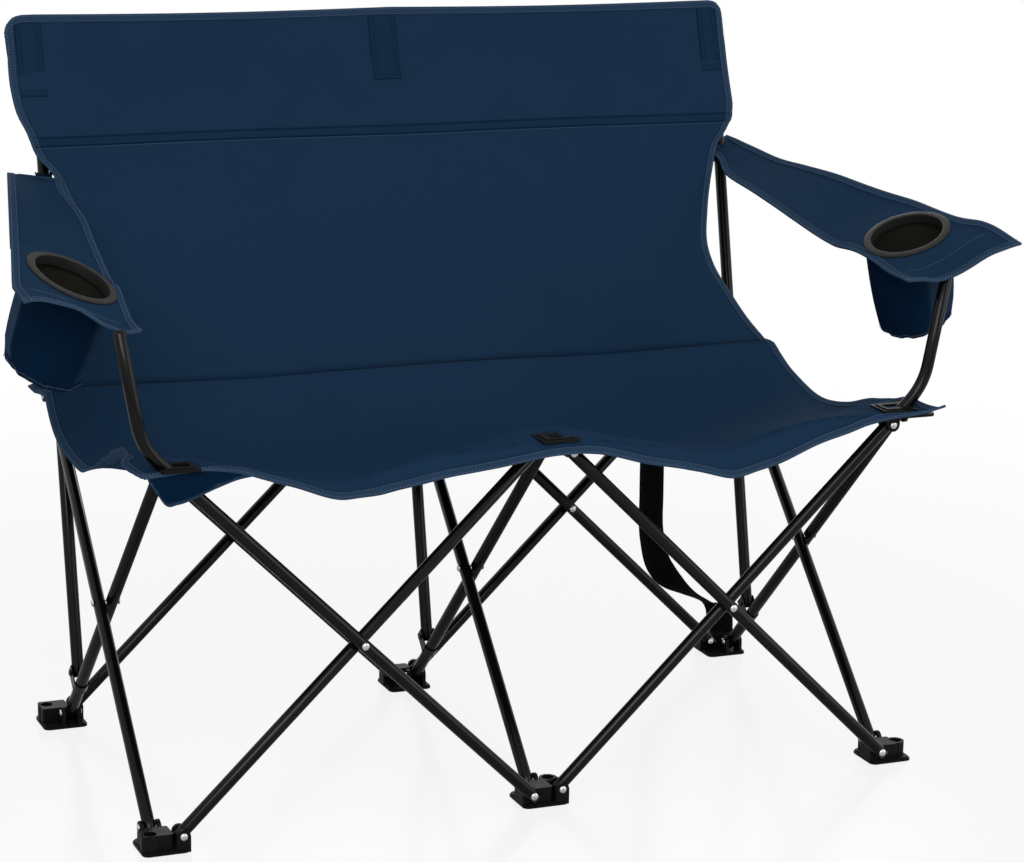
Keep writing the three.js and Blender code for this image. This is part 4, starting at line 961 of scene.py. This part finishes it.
def arm_point(name, t, a):
    ix, iy = smooth(ARM_T, INNER_X[name], t), smooth(ARM_T, INNER_Y[name], t)
    ox = np.minimum(535 + 143 * t, 665) if name == "left" else 534 + 113 * t
    oy = 352 - 640 * t
    iz = 742 - 96 * t + smooth(ARM_T, INNER_DROP[name], t)
    oz = 754 - 60 * t + smooth(ARM_T, OUTER_RISE[name], t)
    x = ix + (ox - ix) * a
    y = iy + (oy - iy) * a - 4 * np.sin(math.pi * a) * t
    z = iz + (oz - iz) * a
    return np.stack([x if name == "right" else -x, y, z], -1), np.hypot(ox - ix, oy - iy)


ARM_LENGTH = 600.0
ARM_WIDTH = 120.0
HEM_ZONE = 15.0
CROSS_SEAM = 46.0
CUP_HOLE = 51.5
AROUND = turns(72)
RIM_PROFILE = [(48.2, -10.5), (48.2, 1.3), (48.4, 1.9), (49.0, 2.3), (50.2, 2.4), (54.3, 2.2), (57.6, 1.6),
               (58.8, 0.9), (59.0, 0.4), (58.6, 0.0), (50.2, 0.0), (50.2, -10.5), (48.2, -10.5)]
POUCH_WALL = 1.8
POUCH_LEAN = 0.12
GATHER_DEPTH = -115


def armrest_grid(name, centre, axis):
    """The band's points, their distance from its hems, and the rows' places along it."""
    ts = stations(0, ARM_LENGTH, 7.5)[::-1] / ARM_LENGTH
    aa = stations(0, ARM_WIDTH, 6.0) / ARM_WIDTH
    if name == "left":
        aa = aa[::-1]
    t, a = np.meshgrid(ts, aa, indexing="ij")
    _, width = arm_point(name, t, a)
    # keep the hems as wide where the band is narrow
    near = np.minimum(a, 1 - a) * ARM_WIDTH
    narrow = HEM_ZONE / width
    hem = np.where(a < 0.5, near / width, 1 - near / width)
    inner = narrow + (a - 0.125) / 0.75 * (1 - 2 * narrow)
    a = np.where(near < HEM_ZONE, hem, inner)
    grid, width = arm_point(name, t, a)
    away = grid - centre
    reach = np.linalg.norm(away - (away @ axis)[..., None] * axis, axis=2)
    calm = ease(reach, 62, 105)
    sag = np.sin(math.pi * a) * np.sin(math.pi * np.clip(t, 0, 1))
    z = grid[..., 2] - 4.0 * sag + ease(t, 0.72, 1.0) * smooth(FRONT_A, FRONT_RISE[name], a)
    z = z + ripple(grid[..., 0], grid[..., 1], 23 if name == "left" else 29, 2.0)
    # the turned-over outer edge
    z = z - 1.2 * np.exp(-(((1 - a) * width - HEM_ZONE) / 3.0) ** 2) * ease(1 - t, 0.02, 0.1)
    # flat under the cup's rim
    plane = centre[2] - ((grid[..., 0] - centre[0]) * axis[0]
                         + (grid[..., 1] - centre[1]) * axis[1]) / axis[2] - 1.6
    grid[..., 2] = z * calm + plane * (1 - calm)
    edge = np.minimum(np.minimum(a, 1 - a) * width, np.minimum(t, 1 - t) * ARM_LENGTH)
    return grid, edge, ts


def gather(v, outward):
    return 0.03 * np.sin(v * 9 + outward) + 0.022 * np.sin(v * 17 + 1) + 0.02 * np.sin(v * 3 + 0.5)


def soft_fold(v, outward):
    side = np.clip(np.cos(v) * outward, 0, 1) ** 2
    return 0.06 * side + 0.012 * np.sin(v * 3 + 1.0) + 0.012 * np.sin(v * 5)


def frayed(v, outward):
    return gather(v, outward) + 0.02 * np.sin(v * 31) + 0.016 * np.sin(v * 47 + 2)


# Radius and height, in the order of the wobbles: plain rim, side, gathered end, plain floor
POUCH_PROFILE = [(r, h, wobble) for wobble, points in (
    (None, ((55.5, -1.2), (56.0, -8))),
    (soft_fold, ((56.2, -20), (56.0, -34), (55.5, -52), (54.6, -70), (53.4, -86), (51.6, -102))),
    (gather, ((49.6, -114), (48.0, -121), (46.0, -126.5), (42.5, -129.5))),
    (None, ((37.0, -128.5), (20.0, -127.5), (1.0, -127.5)))) for r, h in points]


def armrest(name):
    body = f"{name}_armrest"
    centre, axis = np.array(CUP[name][0]), unit(np.array(CUP[name][1]))
    grid, edge, ts = armrest_grid(name, centre, axis)
    band, normal, flat = sheet_piece(f"{name}_armrest_cloth", grid, body, NAVY, edge, 1.8,
                                     hole=(centre, axis, CUP_HOLE))
    face = grid + normal * 1.6
    cols = grid.shape[1]
    lines = []
    for depth in STITCHED:
        k = HEM_STEPS.index(depth)
        lines += [face[:, k], face[:, cols - 1 - k], face[k]]
    lines.append((grid + normal * 1.1)[nearest(ts, 1 - CROSS_SEAM / ARM_LENGTH), 9:-9])
    seams = stitch_piece(f"{name}_armrest_stitches", lines, body)

    level = unit(X - axis * axis[0])
    cross = np.cross(axis, level)
    outward = -1.0 if name == "left" else 1.0
    lean = outward * POUCH_LEAN

    def circle(radius, height, wobble=None, shift=0.0):
        r = radius * (1 + (wobble(AROUND, outward) if wobble else 0 * AROUND))
        return (centre + axis * height + (shift + np.cos(AROUND) * r)[:, None] * level
                + (np.sin(AROUND) * r)[:, None] * cross)

    parts = Parts()
    parts.add(*loft([circle(r, h) for r, h in RIM_PROFILE], False))
    rim = parts.make(f"{name}_cup_rim", body, "moulded_black", [RING_BLACK])
    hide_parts(f"{name}_cup_ring")

    outer = [circle(r, h, w, lean * h) for r, h, w in POUCH_PROFILE]
    inner = [circle(r - POUCH_WALL, h + (POUCH_WALL if h < -127 else 0.0), w, lean * h)
             for r, h, w in POUCH_PROFILE][::-1]
    # the sewn fold in the pouch's side, with painted shade in the fold and a painted lit strip beside it,
    # where the side faces the lamps
    gap = np.angle(np.exp(1j * (AROUND - math.radians(197 if name == "left" else 262))))
    if name == "left":
        side = 0.75 * ease(-gap, 0.03, 0.12) * ease(gap, -1.2, -0.6) + 0.4 * ease(AROUND, 5.2, 5.5)
    else:
        side = 0.35 * ease(gap, 0.03, 0.12) * ease(-gap, -1.5, -0.9) + 0.5 * ease(AROUND, 5.95, 6.1)
    pale, dark, uvs = [], [], []
    for _, depth, _ in POUCH_PROFILE:
        rim_pale = 0.5 * math.exp(-((depth + 1.5) / 3.0) ** 2)
        # painted shade on the gathered end, which faces down, and less of the paleness there
        low = depth <= GATHER_DEPTH
        pale += list(np.clip(side + rim_pale, 0, 1) * (0.3 if low else 1.0))
        dark += list(0.9 * np.exp(-(gap / 0.045) ** 2) + (0.7 if low else 0.0))
        uvs += [(v * 0.055, depth * 0.001) for v in AROUND]
    bag = Parts()
    bag.add(*loft(outer, False, True), 0, uvs, pale, dark)
    bag.add(*loft(inner, False, True), 1, uvs[::-1])
    count = len(AROUND)
    last = len(bag.verts) - count
    for k in range(count):
        after = (k + 1) % count
        bag.faces.append((last + k, last + after, after, k))
        bag.index.append(0)
    pouch = bag.make(f"{name}_pouch", body, "navy_cloth", [NAVY_PAINTED_SHADE, LINER])
    loops = [circle(48.6, -122.5, frayed, lean * -122), circle(57.2, -6.0, None, lean * -6)]
    bag_seams = stitch_piece(f"{name}_pouch_stitches", [np.vstack([ring, ring[:1]]) for ring in loops],
                             body)
    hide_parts(f"{name}_armrest")
    # a point on the post and the normal of the plane through the post and the cup
    on_post = np.array([COLUMN[name] + SIDE, 326.0, 745.0])
    anchor = tuple(mm([on_post])[0])
    across = arm_point(name, 0.75, 1.0)[0] - arm_point(name, 0.75, 0.0)[0]
    flatten = unit(np.cross(centre - on_post, across))
    for item in (band, seams, pouch, bag_seams):
        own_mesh(item)


def post_sleeve(name):
    """The sewn loop that holds an armrest's rear end on its post."""
    x0 = COLUMN[name] + SIDE
    ang = turns(36)
    profile = [(10.2, 722), (10.4, 723), (10.6, 732), (10.8, 741), (11.8, 744.5), (10.4, 745), (10.0, 741),
               (9.6, 732), (9.5, 723), (9.7, 722)]
    rings = []
    for r, z in profile:
        fray = 1 + (0.05 * np.sin(ang * 11) + 0.04 * np.sin(ang * 5 + 1)) * (z > 743)
        rings.append(np.stack([x0 + np.cos(ang) * r * fray, post_y(z) + np.sin(ang) * r * fray,
                               z + (1.6 * np.sin(ang * 7)) * (z > 743)], 1))
    parts = Parts()
    verts, faces = loft(rings + rings[:1], False, True)
    # painted shade: the loop darker all over, most at its top where the armrest's end lies on it
    dark = [0.9 if v[2] > 741 else 0.3 for v in verts]
    parts.add(verts, faces, 0, [(v[0] / 1000, v[2] / 1000) for v in verts], None, dark)
    piece = parts.make(f"{name}_armrest_loop", f"{name}_post", "navy_cloth", [NAVY_PAINTED_SHADE])


for side_name in ("left", "right"):
    armrest(side_name)
    post_sleeve(side_name)


# Strap

STRAP_HALF = 19.0


def strap():
    # x, y, z and the webbing's turn in degrees
    behind = [(404.0, back_y(404, z) + 3.0, z, 0) for z in (925, 880, 840, 800)]
    hanging = [(403, 322, 640, 0), (402, 310, 480, 0), (402, 297, 340, 0), (401, 292, 240, 0),
               (402, 289, 175, 8), (414, 288, 130, 30), (438, 288, 100, 55), (466, 287, 80, 75),
               (492, 285, 66, 80), (510, 281, 52, 40), (515, 277, 34, 4), (515, 276.8, 5.5, 0)]
    key = np.array(behind + hanging, float)
    places = np.concatenate([[0], np.cumsum(np.linalg.norm(np.diff(key[:, :3], axis=0), axis=1))])
    t = np.append(np.arange(0, places[-1], 5.0), places[-1])
    line = np.stack([smooth(places, key[:, i], t) for i in range(3)], 1)
    # the webbing stays behind the bellied cloth
    for k, p in enumerate(line):
        if p[2] > 500:
            line[k, 1] = max(p[1], max(back_y(p[0] + w, p[2]) for w in (-STRAP_HALF, 0, STRAP_HALF)) + 2.6)
    turn = np.radians(smooth(places, key[:, 3], t))
    tangent = np.gradient(line, axis=0)
    tangent /= np.linalg.norm(tangent, axis=1)[:, None]
    face = np.stack([0 * turn, np.cos(turn), np.sin(turn)], 1)
    across = np.cross(tangent, face)
    across /= np.linalg.norm(across, axis=1)[:, None]
    ws = np.array([-STRAP_HALF, -18.6, -17.5, -9, 0, 9, 17.5, 18.6, STRAP_HALF])
    grid = line[:, None, :] + across[:, None, :] * ws[None, :, None]
    edge = (STRAP_HALF - np.abs(ws))[None, :] * 5 + 0 * grid[..., 0]
    piece, normal, flat = sheet_piece("carry_strap_webbing", grid, "right_post", WEBBING,
                                      edge, 1.5)
    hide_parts("carry_strap")
    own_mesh(piece)


strap()


# Finishes of the CAD pieces

for node_name, cad_piece in frame["nodes"].items():
    if not cad_piece.hide_render:
        chosen = PAINT if "clip" in node_name or "tube" in node_name else PLASTIC
        for material_slot in cad_piece.material_slots:
            material_slot.material = chosen


# Floor, world and lamps

def white_for(tree, *rays):
    """1 for the kinds of ray that are named."""
    made = tree.nodes.new("ShaderNodeLightPath")
    value, *others = (Val(tree, made.outputs[ray]) for ray in rays)
    for other in others:
        value = value.math("MAXIMUM", other)
    return value


FLOOR_REACH = 40.0
WHITE = (1.0, 1.0, 1.0)


def stage():
    mesh = bpy.data.meshes.new("floor")
    corners = [(-1, -1), (1, -1), (1, 1), (-1, 1)]
    mesh.from_pydata([(x * FLOOR_REACH, y * FLOOR_REACH, -0.0005) for x, y in corners], [], [(0, 1, 2, 3)])
    floor = add_object("floor", mesh)
    f = Finish("floor", Roughness=0.2, Specular_IOR_Level=0.5, Base_Color=(0.8, 0.8, 0.8, 1))
    glow = f.where.node("ShaderNodeEmission", {"Color": WHITE, "Strength": 1.0})
    away = f.where.node("ShaderNodeVectorMath", {0: f.where}, 1, operation="LENGTH")
    seen = white_for(f.tree, "Is Camera Ray") * (away.step(0.9, 2.6) * 0.17 + 0.83)
    both = seen.blend(Val(f.tree, f.shader.outputs[0]), glow)
    f.tree.links.new(both.socket, f.tree.nodes["Material Output"].inputs[0])
    mesh.materials.append(f.material)


stage()


def world():
    w = bpy.data.worlds.new("world")
    bpy.context.scene.world = w
    w.use_nodes = True
    tree = w.node_tree
    tree.nodes.clear()
    seen = white_for(tree, "Is Camera Ray", "Is Transmission Ray", "Is Glossy Ray")
    soft = seen.node("ShaderNodeBackground", {"Color": (0.93, 0.96, 1.0), "Strength": 0.42})
    white = seen.node("ShaderNodeBackground", {"Color": WHITE, "Strength": 1.0})
    tree.links.new(seen.blend(soft, white).socket, tree.nodes.new("ShaderNodeOutputWorld").inputs[0])


world()


def lamp(name, place, target, size, power):
    data = bpy.data.lights.new(name, "AREA")
    data.shape = "RECTANGLE"
    data.size, data.size_y = size
    data.energy = power
    obj = add_object(name, data)
    obj.location = place
    obj.rotation_euler = (Vector(place) - Vector(target)).to_track_quat("Z", "Y").to_euler()


lamp("key", (-1.5, -3.3, 2.3), (0, 0, 0.5), (2.2, 1.6), 60)
lamp("fill", (2.8, -2.3, 1.6), (0, 0, 0.5), (1.6, 2.2), 27)
lamp("top", (0.2, 0.6, 3.6), (0, 0, 0.4), (3.0, 2.0), 9)
lamp("rim", (1.2, 3.0, 1.9), (0, 0, 0.6), (2.4, 1.0), 20)
